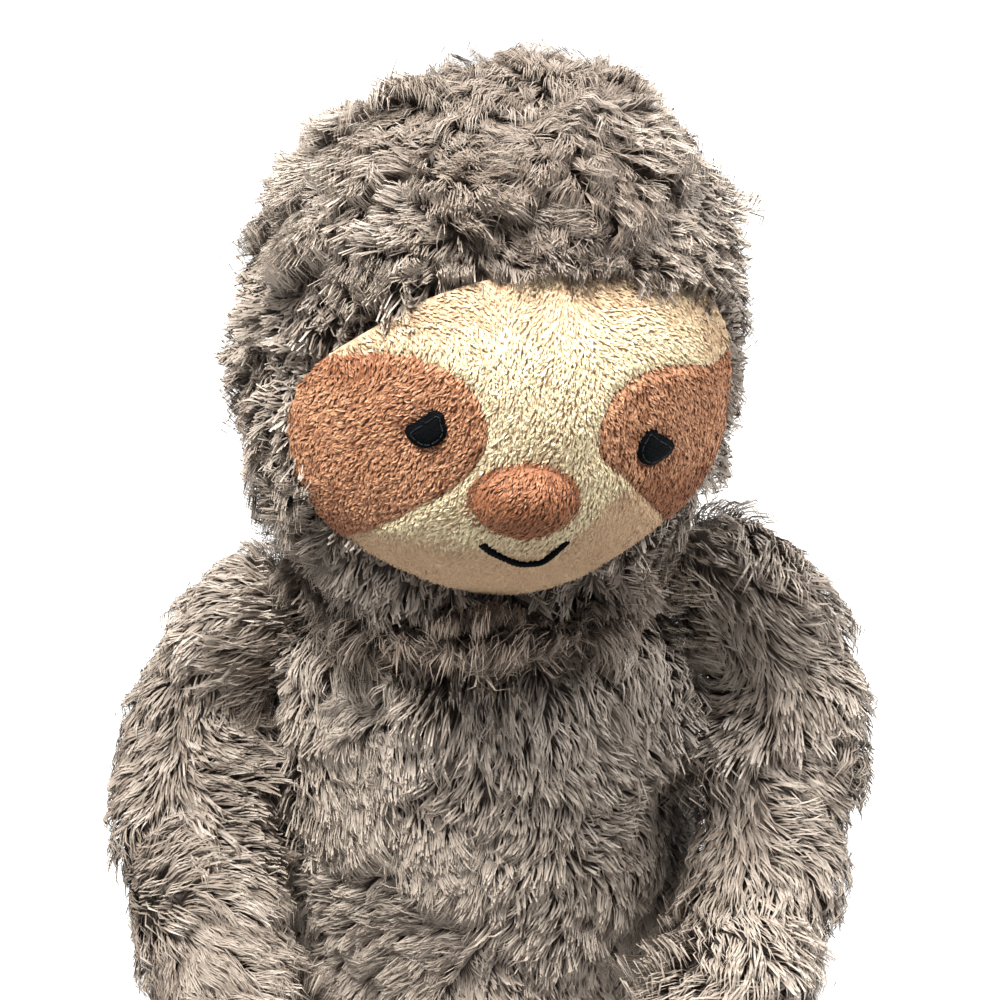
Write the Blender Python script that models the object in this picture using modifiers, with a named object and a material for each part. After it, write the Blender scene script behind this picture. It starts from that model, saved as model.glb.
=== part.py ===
"""A seated plush sloth: fur panels sewn round stuffed fillings, with a short-nap
face, a padded nose and soft claws.

Metres, +Z up. The sloth looks along -Y and its left arm is on the side of -X, as
the viewer sees it. The origin is the middle of the flat seat. A fur panel is solid
from its backing cloth out to the tips of the pile.
"""

import math

import bmesh
import bpy
from mathutils import Matrix, Vector

# Cloth and clearances
PANEL_WALL = 0.011
FACE_WALL = 0.004
CLEARANCE = 0.0003
STUFFING_GAP = 0.0012
SOCKET_GAP = 0.0011
SOCKET_SEGMENTS = 20
SOCKET_RINGS = 10
SEAT_FLAT = 0.0005
CUTTER_REACH = 0.4

# Body, head and shoulders are placed from the neck's middle
NECK_HEIGHT = 0.208

# Body
BODY_ABOVE_NECK = 0.003
BODY_TOP = NECK_HEIGHT + BODY_ABOVE_NECK
BODY_SUNK = 0.0115
BODY_HEIGHT = BODY_TOP + BODY_SUNK
CHEST_HALF_WIDTH = 0.0715
BELLY_HALF_WIDTH = 0.080
CHEST_FRONT = 0.061
BELLY_FRONT = 0.073
CHEST_BACK = 0.054
BELLY_BACK = 0.064
BODY_SEAM_Y = 0.004
BODY_SQUARENESS = 6.0
BELLY_LOW_SHARE = 0.8
POUCH_HALF_WIDTH = 0.046
POUCH_HALF_DEPTH = 0.040
POUCH_HEIGHT = 0.034

# Neck
NECK_BALL_RADIUS = 0.030
NECK_HALF_GAP = 0.0015
NECK_SLOPE = math.radians(7.5)
COLLAR_HALF_WIDTH = 0.064
COLLAR_FRONT = 0.056
COLLAR_HALF_HEIGHT = 0.020

# Head, in its own axes
HEAD_ASIDE = 0.004
HEAD_RISE = 0.082
HEAD_TURN = math.radians(9.0)
HEAD_ROLL = math.radians(7.0)
HEAD_HALF_WIDTH = 0.083
HEAD_HALF_HEIGHT = 0.093
HEAD_FRONT = 0.079
HEAD_BACK = 0.080
CHIN_TAPER_SHARE = 0.17
CROWN_SQUARENESS = 2.1
JOWL_SQUARENESS = 3.0
CROWN_PANEL_WIDTH = 0.052
THROAT_PANEL_WIDTH = 0.090
THROAT_PANEL_TOP = -0.030

# Face, in the head's axes
FACE_CENTRE_Z = -0.008
FACE_HALF_WIDTH = 0.076
FACE_HALF_HEIGHT = 0.068
FACE_FRONT = 0.080
FACE_SQUARENESS = 2.4
FACE_CORE_START = 0.020
OUTLINE_HALF_WIDTH = 0.064
OUTLINE_HALF_HEIGHT = 0.048
OUTLINE_CENTRE_Z = -0.008
NOSE_HALF_WIDTH = 0.0175
NOSE_HALF_HEIGHT = 0.0135
NOSE_STANDS = 0.010
NOSE_Z = -0.0185
EYE_RADIUS = 0.0064
EYE_SPACING = 0.0325
EYE_Z = -0.0005
EYE_LID = math.radians(14)
EYE_STEPS = 13
STITCH_HEIGHT = 0.0013
MOUTH_HALF_WIDTH = 0.0120
MOUTH_DROP = 0.0085
MOUTH_CORNER_Z = -0.0318
MOUTH_THREAD = 0.0019
MOUTH_STEPS = 8

# Arms
SHOULDER_X = 0.089
SHOULDER_Y = 0.004
SHOULDER_DROP = 0.030
RIGHT_SHOULDER_RISE = 0.007
SHOULDER_RADIUS = 0.030
ARM_RADIUS = 0.0315
ARM_CLEARANCE = 0.0025
ARM_SWING = math.radians(75.0)
ARM_SWING_CUTS = 2
ELBOW_X = 0.098
ELBOW_Y = -0.034
ELBOW_DROP = 0.064
HAND_X = 0.052
HAND_Y = -0.128
HAND_GAP = 0.0004

# Legs
HIP_X = 0.045
HIP_Y = -0.050
LEG_RADIUS = 0.027
LEG_BED_GAP = 0.0006
HIP_ROOM_BESIDE = 0.0018
HIP_ROOM_BEHIND = 0.002
HIP_ROOM_BELOW = 0.004
FOOT_X = 0.060
FOOT_Y = -0.205

# Limbs' ends, by how square their superellipse is
ARM_ROOT_SQUARENESS = 2.7
LEG_ROOT_SQUARENESS = 2.2
TIP_SQUARENESS = 3.0
CLAW_SQUARENESS = 2.2

# Claws
CLAW_RADIUS = 0.0070
CLAW_LENGTH = 0.036
CLAW_SPREAD_SHARE = 0.53
CLAW_OUT_SHARE = 0.55
CLAW_TIP_SHARE = 0.8

SIDES = (("left", -1), ("right", 1))
NECK = Vector((0.0, 0.0, NECK_HEIGHT))
BODY_CENTRE_Z = BODY_TOP - BODY_HEIGHT / 2

# Places round the face's outline, as shares of its half width and half height
FACE_OUTLINE_SHARES = (
    (-0.19, 1.00), (0.15, 1.02), (0.45, 0.97), (0.74, 0.83), (0.90, 0.56),
    (0.98, 0.24), (1.00, -0.08), (0.90, -0.31), (0.69, -0.46), (0.50, -0.62),
    (0.28, -0.84), (0.06, -0.99), (-0.17, -0.97), (-0.46, -0.84), (-0.74, -0.69),
    (-0.92, -0.48), (-1.00, -0.20), (-1.00, 0.13), (-0.95, 0.38), (-0.80, 0.62),
    (-0.51, 0.88),
)
# The patches run past the outline at the side, where the face's edge trims them
LEFT_PATCH_SHARES = (
    (-1.16, 0.24), (-0.96, 0.36), (-0.80, 0.50), (-0.62, 0.59), (-0.42, 0.57),
    (-0.30, 0.47), (-0.24, 0.31), (-0.23, 0.15), (-0.28, 0.01), (-0.38, -0.14),
    (-0.55, -0.37), (-0.74, -0.69), (-0.90, -0.92), (-1.16, -0.60),
)
RIGHT_PATCH_SHARES = (
    (1.16, 0.62), (0.84, 0.62), (0.68, 0.64), (0.46, 0.61), (0.33, 0.48),
    (0.28, 0.31), (0.28, 0.19), (0.31, 0.06), (0.42, -0.06), (0.56, -0.25),
    (0.69, -0.43), (0.82, -0.62), (1.16, -0.40),
)
# Where the arm's middle line bows away from straight, in arm radii
SHOULDER_TOP_SHARES = (-0.10, 0.0, 1.0)
UPPER_BOW_SHARES = (0.20, 0.25, 0.0)
FORE_BOW_SHARES = (0.17, 0.0, -0.07)
HAND_SHARE = 0.95
# The axis that the right arm swings up about
ARM_AXIS_SHARES = (-0.906, 0.0, 0.423)
# Which way the seam along the arm faces
ARM_SEAM_SHARES = (0.957, -0.286, 0.0)
ARM_SEAM_OUT_SHARE = 0.3
# Along the leg from the hip to the foot: how far, and how thick
LEG_SHARES = ((-0.17, 1.0), (0.10, 1.0), (0.45, 0.98), (0.75, 1.0), (1.0, 1.06))
# Where each claw of a paw starts along its reach, side claws further back
CLAW_REACH_SHARES = (0.80, 1.0, 0.80)


def clear_scene():
    for obj in list(bpy.data.objects):
        bpy.data.objects.remove(obj, do_unlink=True)


def collection(name, shown):
    made = bpy.data.collections.new(name)
    made.hide_render = not shown
    bpy.context.scene.collection.children.link(made)
    return made


def material(name, colour, roughness):
    made = bpy.data.materials.new(name)
    made.use_nodes = True
    shader = made.node_tree.nodes["Principled BSDF"]
    shader.inputs["Base Color"].default_value = (*colour, 1.0)
    shader.inputs["Roughness"].default_value = roughness
    shader.inputs["Metallic"].default_value = 0.0
    return made


def piece(name, mesh, finish, parent=None):
    """A named sub-part of the sloth; its mesh is in its parent's axes."""
    obj = bpy.data.objects.new(name, mesh)
    obj.data.materials.clear()
    obj.data.materials.append(finish)
    obj.parent = parent
    PLUSH.objects.link(obj)
    return obj


def helper(name, mesh, parent=None):
    """A cutter or an envelope that other pieces are made from."""
    obj = bpy.data.objects.new(name, mesh)
    obj.parent = parent
    obj.hide_render = True
    obj.display_type = "WIRE"
    CUTTERS.objects.link(obj)
    return obj


def axis_empty(name, place, turned=(0.0, 0.0, 0.0), parent=None):
    empty = bpy.data.objects.new(name, None)
    empty.parent = parent
    empty.rotation_euler = turned
    empty.location = place
    PLUSH.objects.link(empty)
    return empty


def boolean(obj, other, operation="DIFFERENCE"):
    step = obj.modifiers.new(f"{operation.lower()} {other.name}", "BOOLEAN")
    step.operation = operation
    step.solver = "EXACT"
    step.object = other


def smooth_cage(obj):
    step = obj.modifiers.new("smooth", "SUBSURF")
    step.levels = 1
    step.render_levels = 1


def settled(obj):
    """The object's mesh with its modifiers applied."""
    bpy.context.view_layer.update()
    graph = bpy.context.evaluated_depsgraph_get()
    return bpy.data.meshes.new_from_object(obj.evaluated_get(graph))


def spread(low, high, share):
    """From low to high by a smooth step."""
    share = min(max(share, 0), 1)
    return low + (high - low) * share * share * (3 - 2 * share)


def cage_growth(segments):
    """How much wider a cage is than the tube that one smoothing makes of it."""
    return 8 / (6 + 2 * math.cos(2 * math.pi / segments))


def rounded(along, squareness):
    """Half width of a superellipse at a place along its axis, from -1 to 1."""
    return max(0, 1 - abs(along) ** squareness) ** (1 / squareness)


def round_share(unit, squareness):
    """What turns a sphere's ring at unit into the superellipse's ring there."""
    across = math.hypot(unit.x, unit.y)
    return rounded(unit.z, squareness) / across if across else 0


def ball_mesh(name, place, segments, rings, flip=False):
    """A unit UV sphere whose points go where place(unit point) puts them."""
    bm = bmesh.new()
    bmesh.ops.create_uvsphere(bm, u_segments=segments, v_segments=rings, radius=1)
    for vert in bm.verts:
        vert.co = place(vert.co.copy())
    if flip:
        bmesh.ops.reverse_faces(bm, faces=bm.faces)
    mesh = bpy.data.meshes.new(name)
    bm.to_mesh(mesh)
    bm.free()
    mesh.shade_smooth()
    return mesh


def ellipsoid(name, centre, radii, parent=None, segments=16, rings=8):
    def place(unit):
        return centre + Vector(u * r for u, r in zip(unit, radii))

    return helper(name, ball_mesh(name, place, segments, rings), parent)


def socket(name, centre, radii):
    """A ball's seat, finer than the ball, so that its facets clear the ball's."""
    return ellipsoid(name, centre, radii, None, SOCKET_SEGMENTS, SOCKET_RINGS)


def block(name, low, high, parent=None):
    bm = bmesh.new()
    bmesh.ops.create_cube(bm, size=1)
    low, high = Vector(low), Vector(high)
    for vert in bm.verts:
        vert.co = Vector(
            a if side < 0 else b for side, a, b in zip(vert.co, low, high)
        )
    mesh = bpy.data.meshes.new(name)
    bm.to_mesh(mesh)
    bm.free()
    return helper(name, mesh, parent)


def outline_curve(points, steps):
    """Points of a closed smooth curve through the given (x, z) points."""
    found = []
    for i, start in enumerate(points):
        before = points[i - 1]
        end = points[(i + 1) % len(points)]
        after = points[(i + 2) % len(points)]
        for k in range(steps):
            t = k / steps
            found.append(
                0.5
                * (
                    2 * start
                    + (end - before) * t
                    + (2 * before - 5 * start + 4 * end - after) * t**2
                    + (3 * start - before - 3 * end + after) * t**3
                )
            )
    return found


def prism(name, outline, parent, grown=0.0, start=0.0):
    """The outline, in X and Z, pushed from start in the head out past the face."""
    middle = sum(outline, Vector((0.0, 0.0))) / len(outline)
    bm = bmesh.new()
    ring = []
    for point in outline:
        out = point - middle
        at = point + out.normalized() * grown
        ring.append(bm.verts.new((at.x, start, at.y)))
    face = bm.faces.new(ring)
    pushed = bmesh.ops.extrude_face_region(bm, geom=[face])
    moved = [v for v in pushed["geom"] if isinstance(v, bmesh.types.BMVert)]
    bmesh.ops.translate(bm, verts=moved, vec=(0.0, -CUTTER_REACH, 0.0))
    bmesh.ops.recalc_face_normals(bm, faces=bm.faces)
    mesh = bpy.data.meshes.new(name)
    bm.to_mesh(mesh)
    bm.free()
    return helper(name, mesh, parent)


def body_form(name, inset, smooth=True, segments=12, rings=8):
    """The body's pear shape, pressed flat under the seat."""
    half_height = BODY_HEIGHT / 2 - inset
    growth = cage_growth(segments) if smooth else 1

    def place(unit):
        z = BODY_CENTRE_Z + unit.z * half_height
        low = (BODY_TOP - z) / BODY_HEIGHT
        girth = growth * round_share(unit, BODY_SQUARENESS)
        low = low / BELLY_LOW_SHARE
        half_width = spread(CHEST_HALF_WIDTH, BELLY_HALF_WIDTH, low) - inset
        front = spread(CHEST_FRONT, BELLY_FRONT, low) - inset
        back = spread(CHEST_BACK, BELLY_BACK, low) - inset
        depth = front if unit.y < 0 else back
        z = max(z, inset - SEAT_FLAT)
        return Vector((unit.x * girth * half_width, unit.y * girth * depth, z))

    obj = helper(name, ball_mesh(name, place, segments, rings))
    if smooth:
        smooth_cage(obj)
    return obj


def neck_gap(name, half_gap):
    """A disc that thickens outward, turned about the neck: what a nod needs."""
    rise = CUTTER_REACH * math.tan(NECK_SLOPE)
    points = (
        (0.0, half_gap),
        (CUTTER_REACH, half_gap + rise),
        (CUTTER_REACH, -half_gap - rise),
        (0.0, -half_gap),
    )
    bm = bmesh.new()
    verts = [bm.verts.new((x, 0.0, z)) for x, z in points]
    for a, b in zip(verts, verts[1:]):
        bm.edges.new((a, b))
    mesh = bpy.data.meshes.new(name)
    bm.to_mesh(mesh)
    bm.free()
    obj = helper(name, mesh)
    obj.location = NECK
    turn = obj.modifiers.new("turn", "SCREW")
    turn.steps = 24
    turn.render_steps = 24
    turn.use_merge_vertices = True
    turn.merge_threshold = 0.00001
    return obj


def head_form(name, inset, parent, smooth=True, segments=12, rings=8):
    """The head: round over the crown, squarer at the jowls, narrower at the chin."""
    growth = cage_growth(segments) if smooth else 1

    def place(unit):
        up = unit.z
        squareness = CROWN_SQUARENESS if up > 0 else JOWL_SQUARENESS
        girth = growth * round_share(unit, squareness)
        chin = 1 - CHIN_TAPER_SHARE * min(up, 0) ** 2
        depth = (HEAD_FRONT * chin if unit.y < 0 else HEAD_BACK) - inset
        return Vector(
            (
                unit.x * girth * (HEAD_HALF_WIDTH - inset),
                unit.y * girth * depth,
                up * (HEAD_HALF_HEIGHT - inset),
            )
        )

    obj = helper(name, ball_mesh(name, place, segments, rings), parent)
    if smooth:
        smooth_cage(obj)
    return obj


def face_form(name, inset, parent, segments=12, rings=8):
    """The stuffed face bulges out of the opening in the head's fur."""
    growth = cage_growth(segments)

    def place(unit):
        girth = growth * round_share(unit, FACE_SQUARENESS)
        return Vector(
            (
                unit.x * girth * (FACE_HALF_WIDTH - inset),
                unit.y * girth * (FACE_FRONT - inset),
                FACE_CENTRE_Z + unit.z * (FACE_HALF_HEIGHT - inset),
            )
        )

    obj = helper(name, ball_mesh(name, place, segments, rings), parent)
    smooth_cage(obj)
    return obj


def limb_place(stations, inset, root_squareness, tip_squareness, growth=1):
    """place(unit point) for a stuffed tube along stations of (centre, radius)."""
    centres = [Vector(centre) for centre, _ in stations]
    radii = [radius for _, radius in stations]
    before = [2 * centres[0] - centres[1], *centres, 2 * centres[-1] - centres[-2]]

    def along(share):
        at = min(max(share, 0), 1) * (len(centres) - 1)
        i = min(int(at), len(centres) - 2)
        t = at - i
        p0, p1, p2, p3 = before[i : i + 4]
        place = 0.5 * (
            2 * p1
            + (p2 - p0) * t
            + (2 * p0 - 5 * p1 + 4 * p2 - p3) * t**2
            + (3 * p1 - p0 - 3 * p2 + p3) * t**3
        )
        heading = 0.5 * (
            (p2 - p0)
            + 2 * (2 * p0 - 5 * p1 + 4 * p2 - p3) * t
            + 3 * (3 * p1 - p0 - 3 * p2 + p3) * t**2
        )
        return place, heading.normalized(), spread(radii[i], radii[i + 1], t)

    length = sum((b - a).length for a, b in zip(centres, centres[1:]))
    trim = inset / length

    def place(unit):
        centre, heading, radius = along(trim + (unit.z + 1) / 2 * (1 - 2 * trim))
        squareness = tip_squareness if unit.z > 0 else root_squareness
        girth = growth * round_share(unit, squareness) * (radius - inset)
        across = Vector((1.0, 0.0, 0.0))
        across = (across - across.dot(heading) * heading).normalized()
        other = heading.cross(across)
        return centre + girth * (unit.x * across + unit.y * other)

    return place


def limb_form(name, stations, side, inset, root, smooth=True, segments=8, rings=7):
    """A stuffed limb; root is how square its upper end is."""
    growth = cage_growth(segments) if smooth else 1
    place = limb_place(stations, inset, root, TIP_SQUARENESS, growth)

    def on_side(unit):
        at = place(unit)
        return Vector((at.x * side, at.y, at.z))

    obj = helper(name, ball_mesh(name, on_side, segments, rings, flip=side < 0))
    if smooth:
        smooth_cage(obj)
    return obj


def shoulder(side):
    rise = RIGHT_SHOULDER_RISE if side > 0 else 0
    return Vector((SHOULDER_X, SHOULDER_Y, NECK_HEIGHT - SHOULDER_DROP + rise))


def arm_stations(side):
    """From the top of the shoulder, down to the elbow and in to the hand.

    The hand lies on the thigh."""
    top = shoulder(side)
    elbow = Vector((ELBOW_X, ELBOW_Y, shoulder(-1).z - ELBOW_DROP))
    thigh_top = 2 * LEG_RADIUS - SEAT_FLAT
    hand = Vector((HAND_X, HAND_Y, thigh_top + HAND_GAP + ARM_RADIUS * HAND_SHARE))
    upper = top.lerp(elbow, 0.45) + Vector(UPPER_BOW_SHARES) * ARM_RADIUS
    fore = elbow.lerp(hand, 0.5) + Vector(FORE_BOW_SHARES) * ARM_RADIUS
    return (
        (top + Vector(SHOULDER_TOP_SHARES) * SHOULDER_RADIUS, SHOULDER_RADIUS),
        (top.lerp(upper, 0.3), SHOULDER_RADIUS),
        (upper, ARM_RADIUS),
        (elbow, ARM_RADIUS),
        (fore, ARM_RADIUS),
        (hand, ARM_RADIUS * HAND_SHARE),
    )


def hip():
    return Vector((HIP_X, HIP_Y, LEG_RADIUS + CLEARANCE))


def leg_stations():
    """From inside the hip, forward along the floor to the foot."""
    stations = []
    for reach_share, radius_share in LEG_SHARES:
        radius = LEG_RADIUS * radius_share
        x = HIP_X + (FOOT_X - HIP_X) * max(reach_share, 0)
        y = HIP_Y + (FOOT_Y - HIP_Y) * reach_share
        stations.append((Vector((x, y, radius - SEAT_FLAT)), radius))
    return stations


def panel(name, envelope, lining, trims, parent=None):
    """A fur panel: the envelope's share of wall, less what the trims take."""
    obj = piece(name, envelope.copy(), FUR, parent)
    boolean(obj, lining)
    for trim in trims:
        boolean(obj, trim)
    return obj


clear_scene()
PLUSH = collection("plush_sloth", True)
CUTTERS = collection("plush_sloth_cutters", False)
FUR = material("long_pile_fur", (0.235, 0.205, 0.175), 0.9)
FACE_NAP = material("cream_short_nap", (0.74, 0.60, 0.40), 0.9)
PATCH_NAP = material("brown_short_nap", (0.36, 0.15, 0.075), 0.9)
THREAD = material("black_thread", (0.012, 0.012, 0.014), 0.5)
STUFFING = material("polyester_stuffing", (0.80, 0.80, 0.78), 1.0)
POUCH_CLOTH = material("pouch_cloth", (0.55, 0.53, 0.50), 0.8)

# The axes that things turn on
neck_turn = axis_empty("neck_turn_axis", NECK)
head_nod = axis_empty("head_nod_axis", (0, 0, 0), (0, 0, HEAD_TURN), neck_turn)
head_pose = axis_empty(
    "head_pose",
    (HEAD_ASIDE, 0, HEAD_RISE),
    (0.0, HEAD_ROLL, HEAD_TURN),
    neck_turn,
)

# The body, and what is cut out of it for the neck, shoulders and hips
body = body_form("body_envelope", 0)
body_lining = body_form("body_lining", PANEL_WALL, smooth=False)
body_core = body_form("body_core", PANEL_WALL + STUFFING_GAP, smooth=False)
body_grown = body_form("body_grown", -ARM_CLEARANCE)
floor = block(
    "floor",
    (-CUTTER_REACH, -CUTTER_REACH, -CUTTER_REACH),
    (CUTTER_REACH, CUTTER_REACH, 0),
)
gap_cutter = neck_gap("neck_gap", NECK_HALF_GAP)
neck_socket = socket("neck_socket", NECK, (NECK_BALL_RADIUS + SOCKET_GAP,) * 3)
above_neck = block(
    "above_neck",
    (-CUTTER_REACH, -CUTTER_REACH, NECK_HEIGHT),
    (CUTTER_REACH, CUTTER_REACH, CUTTER_REACH),
)
below_neck = block(
    "below_neck",
    (-CUTTER_REACH, -CUTTER_REACH, -CUTTER_REACH),
    (CUTTER_REACH, CUTTER_REACH, NECK_HEIGHT),
)
body_trims = [floor, above_neck, gap_cutter, neck_socket]
for side_name, side in SIDES:
    mirror = Matrix.Diagonal((side, 1, 1, 1))
    body_trims.append(
        socket(
            f"shoulder_socket_{side_name}",
            mirror @ shoulder(side),
            (SHOULDER_RADIUS + SOCKET_GAP,) * 3,
        )
    )
    at_hip = mirror @ hip()
    fit = LEG_RADIUS + SOCKET_GAP
    hip_socket = socket(
        f"hip_socket_{side_name}",
        at_hip + Vector((0, HIP_ROOM_BEHIND, -HIP_ROOM_BELOW)),
        (fit + HIP_ROOM_BESIDE, fit + 2 * HIP_ROOM_BEHIND, fit + HIP_ROOM_BELOW),
    )
    leg_bed = limb_form(
        f"leg_bed_{side_name}", leg_stations(), side, -LEG_BED_GAP, LEG_ROOT_SQUARENESS
    )
    boolean(leg_bed, hip_socket, "UNION")
    body_trims.append(helper(f"leg_room_{side_name}", settled(leg_bed)))
    inner = (HIP_X - LEG_RADIUS - LEG_BED_GAP) * side
    outer = (HIP_X + LEG_RADIUS + LEG_BED_GAP) * side
    body_trims.append(
        block(
            f"leg_swing_{side_name}",
            (min(inner, outer), -CUTTER_REACH, -CUTTER_REACH),
            (max(inner, outer), at_hip.y, at_hip.z),
        )
    )
for trim in body_trims:
    boolean(body, trim)
body_envelope = settled(body)
behind = block(
    "behind_body_seam",
    (-CUTTER_REACH, BODY_SEAM_Y - CLEARANCE / 2, -CUTTER_REACH),
    (CUTTER_REACH, CUTTER_REACH, CUTTER_REACH),
)
before = block(
    "before_body_seam",
    (-CUTTER_REACH, -CUTTER_REACH, -CUTTER_REACH),
    (CUTTER_REACH, BODY_SEAM_Y + CLEARANCE / 2, CUTTER_REACH),
)
panel("body_front_panel", body_envelope, body_lining, [behind])
panel("body_back_panel", body_envelope, body_lining, [before])

pouch_at = Vector((0, BODY_SEAM_Y, PANEL_WALL + STUFFING_GAP))
pouch = ellipsoid(
    "pouch_form",
    pouch_at,
    (POUCH_HALF_WIDTH, POUCH_HALF_DEPTH, POUCH_HEIGHT),
    segments=12,
    rings=8,
)
pouch_room = ellipsoid(
    "pouch_room",
    pouch_at,
    (
        POUCH_HALF_WIDTH + CLEARANCE,
        POUCH_HALF_DEPTH + CLEARANCE,
        POUCH_HEIGHT + CLEARANCE,
    ),
    segments=12,
    rings=8,
)
body_filling = piece("body_filling", settled(body_core), STUFFING)
for trim in body_trims[1:]:
    boolean(body_filling, trim)
boolean(body_filling, pouch_room)
pellet_pouch = piece("pellet_pouch", pouch.data.copy(), POUCH_CLOTH)
boolean(pellet_pouch, body_core, "INTERSECT")

# The neck: a stuffed ball between the two sockets, and the fur collar round it
neck_ball = ellipsoid("neck_ball", Vector((0, 0, 0)), (NECK_BALL_RADIUS,) * 3)
piece("neck_filling", neck_ball.data.copy(), STUFFING, neck_turn)
collar_gap = neck_gap("collar_gap", NECK_HALF_GAP - CLEARANCE * 1.5)
collar = ellipsoid(
    "collar_form",
    Vector((0, 0, 0)),
    (COLLAR_HALF_WIDTH, COLLAR_FRONT, COLLAR_HALF_HEIGHT * 2),
)
neck_collar = piece("neck_collar", collar.data.copy(), FUR, neck_turn)
boolean(neck_collar, collar_gap, "INTERSECT")
boolean(neck_collar, neck_socket)
for side_name, _ in SIDES:
    boolean(neck_collar, CUTTERS.objects[f"shoulder_socket_{side_name}"])

# The head's fur panels, round the opening for the face
outline = outline_curve(
    [
        Vector((x * OUTLINE_HALF_WIDTH, OUTLINE_CENTRE_Z + z * OUTLINE_HALF_HEIGHT))
        for x, z in FACE_OUTLINE_SHARES
    ],
    2,
)
face_hole = prism("face_hole", outline, head_pose, CLEARANCE)
face_edge = prism("face_edge", outline, head_pose)
face_core_edge = prism(
    "face_core_edge", outline, head_pose, -CLEARANCE, FACE_CORE_START
)
head = head_form("head_envelope", 0, head_pose)
head_lining = head_form("head_lining", PANEL_WALL, head_pose, smooth=False)
head_core = head_form(
    "head_core", PANEL_WALL + STUFFING_GAP, head_pose, smooth=False
)
for trim in (below_neck, gap_cutter, neck_socket, face_hole):
    boolean(head, trim)
head_envelope = settled(head)
half_crown = CROWN_PANEL_WIDTH / 2
half_throat = THROAT_PANEL_WIDTH / 2
throat_block = block(
    "throat_block",
    (-half_throat, -CUTTER_REACH, -CUTTER_REACH),
    (half_throat, 0, THROAT_PANEL_TOP),
    head_pose,
)
throat_keep = block(
    "throat_keep",
    (-half_throat + CLEARANCE, -CUTTER_REACH, -CUTTER_REACH),
    (half_throat - CLEARANCE, -CLEARANCE, THROAT_PANEL_TOP - CLEARANCE),
    head_pose,
)
crown_keep = block(
    "crown_keep",
    (-half_crown + CLEARANCE, -CUTTER_REACH, -CUTTER_REACH),
    (half_crown - CLEARANCE, CUTTER_REACH, CUTTER_REACH),
    head_pose,
)
crown = panel("head_crown_panel", head_envelope, head_lining, [throat_block], head_pose)
boolean(crown, crown_keep, "INTERSECT")
throat = panel("head_throat_panel", head_envelope, head_lining, [], head_pose)
boolean(throat, throat_keep, "INTERSECT")
for side_name, side in SIDES:
    inner = half_crown * side
    outer = CUTTER_REACH * side
    keep = block(
        f"cheek_keep_{side_name}",
        (min(inner, outer), -CUTTER_REACH, -CUTTER_REACH),
        (max(inner, outer), CUTTER_REACH, CUTTER_REACH),
        head_pose,
    )
    cheek = panel(
        f"head_{side_name}_panel", head_envelope, head_lining, [throat_block], head_pose
    )
    boolean(cheek, keep, "INTERSECT")

# The face: a stuffed short-nap panel with a patch let in round each eye
face_outer = face_form("face_outer", 0, head_pose)
face_inner = face_form("face_inner", FACE_WALL, head_pose)
face_core = face_form("face_core", FACE_WALL + CLEARANCE, head_pose)
boolean(face_core, face_core_edge, "INTERSECT")
face_shell = helper("face_shell", settled(face_outer), head_pose)
boolean(face_shell, face_inner)
boolean(face_shell, face_edge, "INTERSECT")
shell_mesh = settled(face_shell)
face_panel = piece("face_panel", shell_mesh.copy(), FACE_NAP, head_pose)
for side_name, shares in (("left", LEFT_PATCH_SHARES), ("right", RIGHT_PATCH_SHARES)):
    patch_outline = outline_curve(
        [
            Vector((x * OUTLINE_HALF_WIDTH, OUTLINE_CENTRE_Z + z * OUTLINE_HALF_HEIGHT))
            for x, z in shares
        ],
        2,
    )
    boolean(face_panel, prism(f"patch_hole_{side_name}", patch_outline, head_pose))
    patch = piece(f"eye_patch_{side_name}", shell_mesh.copy(), PATCH_NAP, head_pose)
    boolean(
        patch,
        prism(f"patch_keep_{side_name}", patch_outline, head_pose, -CLEARANCE),
        "INTERSECT",
    )
head_filling = piece("head_filling", settled(head_core), STUFFING, head_pose)
boolean(head_filling, face_hole)
boolean(head_filling, face_core, "UNION")
for trim in (below_neck, gap_cutter, neck_socket):
    boolean(head_filling, trim)

# What stands on the face: padded nose, embroidered eyes and mouth
face_skin = face_form("face_skin", -CLEARANCE, head_pose)
stitch_tops = face_form("stitch_tops", -CLEARANCE - STITCH_HEIGHT, head_pose)
nose = ellipsoid(
    "nose_form",
    Vector((0, NOSE_STANDS - FACE_FRONT, NOSE_Z)),
    (NOSE_HALF_WIDTH, 2 * NOSE_STANDS, NOSE_HALF_HEIGHT),
    head_pose,
)
nose_piece = piece("nose", nose.data.copy(), PATCH_NAP, head_pose)
boolean(nose_piece, face_skin)


def half_moon(side):
    """A sleepy eye: a disc whose lid cuts its top off, lower at the outer end."""
    middle = Vector((EYE_SPACING * side, EYE_Z))
    points = []
    for k in range(EYE_STEPS + 1):
        angle = math.pi + (math.pi + 2 * EYE_LID) * k / EYE_STEPS - EYE_LID
        reach = Vector((math.cos(angle), math.sin(angle))) * EYE_RADIUS
        points.append(middle + Matrix.Rotation(-side * EYE_LID, 2) @ reach)
    return points


def smile():
    """A line of thread that sags between its two corners."""
    upper = []
    lower = []
    for k in range(MOUTH_STEPS + 1):
        across = 2 * k / MOUTH_STEPS - 1
        z = MOUTH_CORNER_Z - MOUTH_DROP * (1 - across * across)
        x = across * MOUTH_HALF_WIDTH
        slope = 2 * across * MOUTH_DROP / MOUTH_HALF_WIDTH
        out = Vector((-slope, 1)).normalized() * MOUTH_THREAD / 2
        upper.append(Vector((x, z)) + out)
        lower.append(Vector((x, z)) - out)
    return lower + upper[::-1]


stitching = [("mouth", smile())]
for side_name, side in SIDES:
    stitching.append((f"eye_{side_name}", half_moon(side)))
for name, drawn in stitching:
    stitched = piece(name, settled(stitch_tops), THREAD, head_pose)
    boolean(stitched, face_skin)
    boolean(stitched, prism(f"{name}_edge", drawn, head_pose), "INTERSECT")


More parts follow.
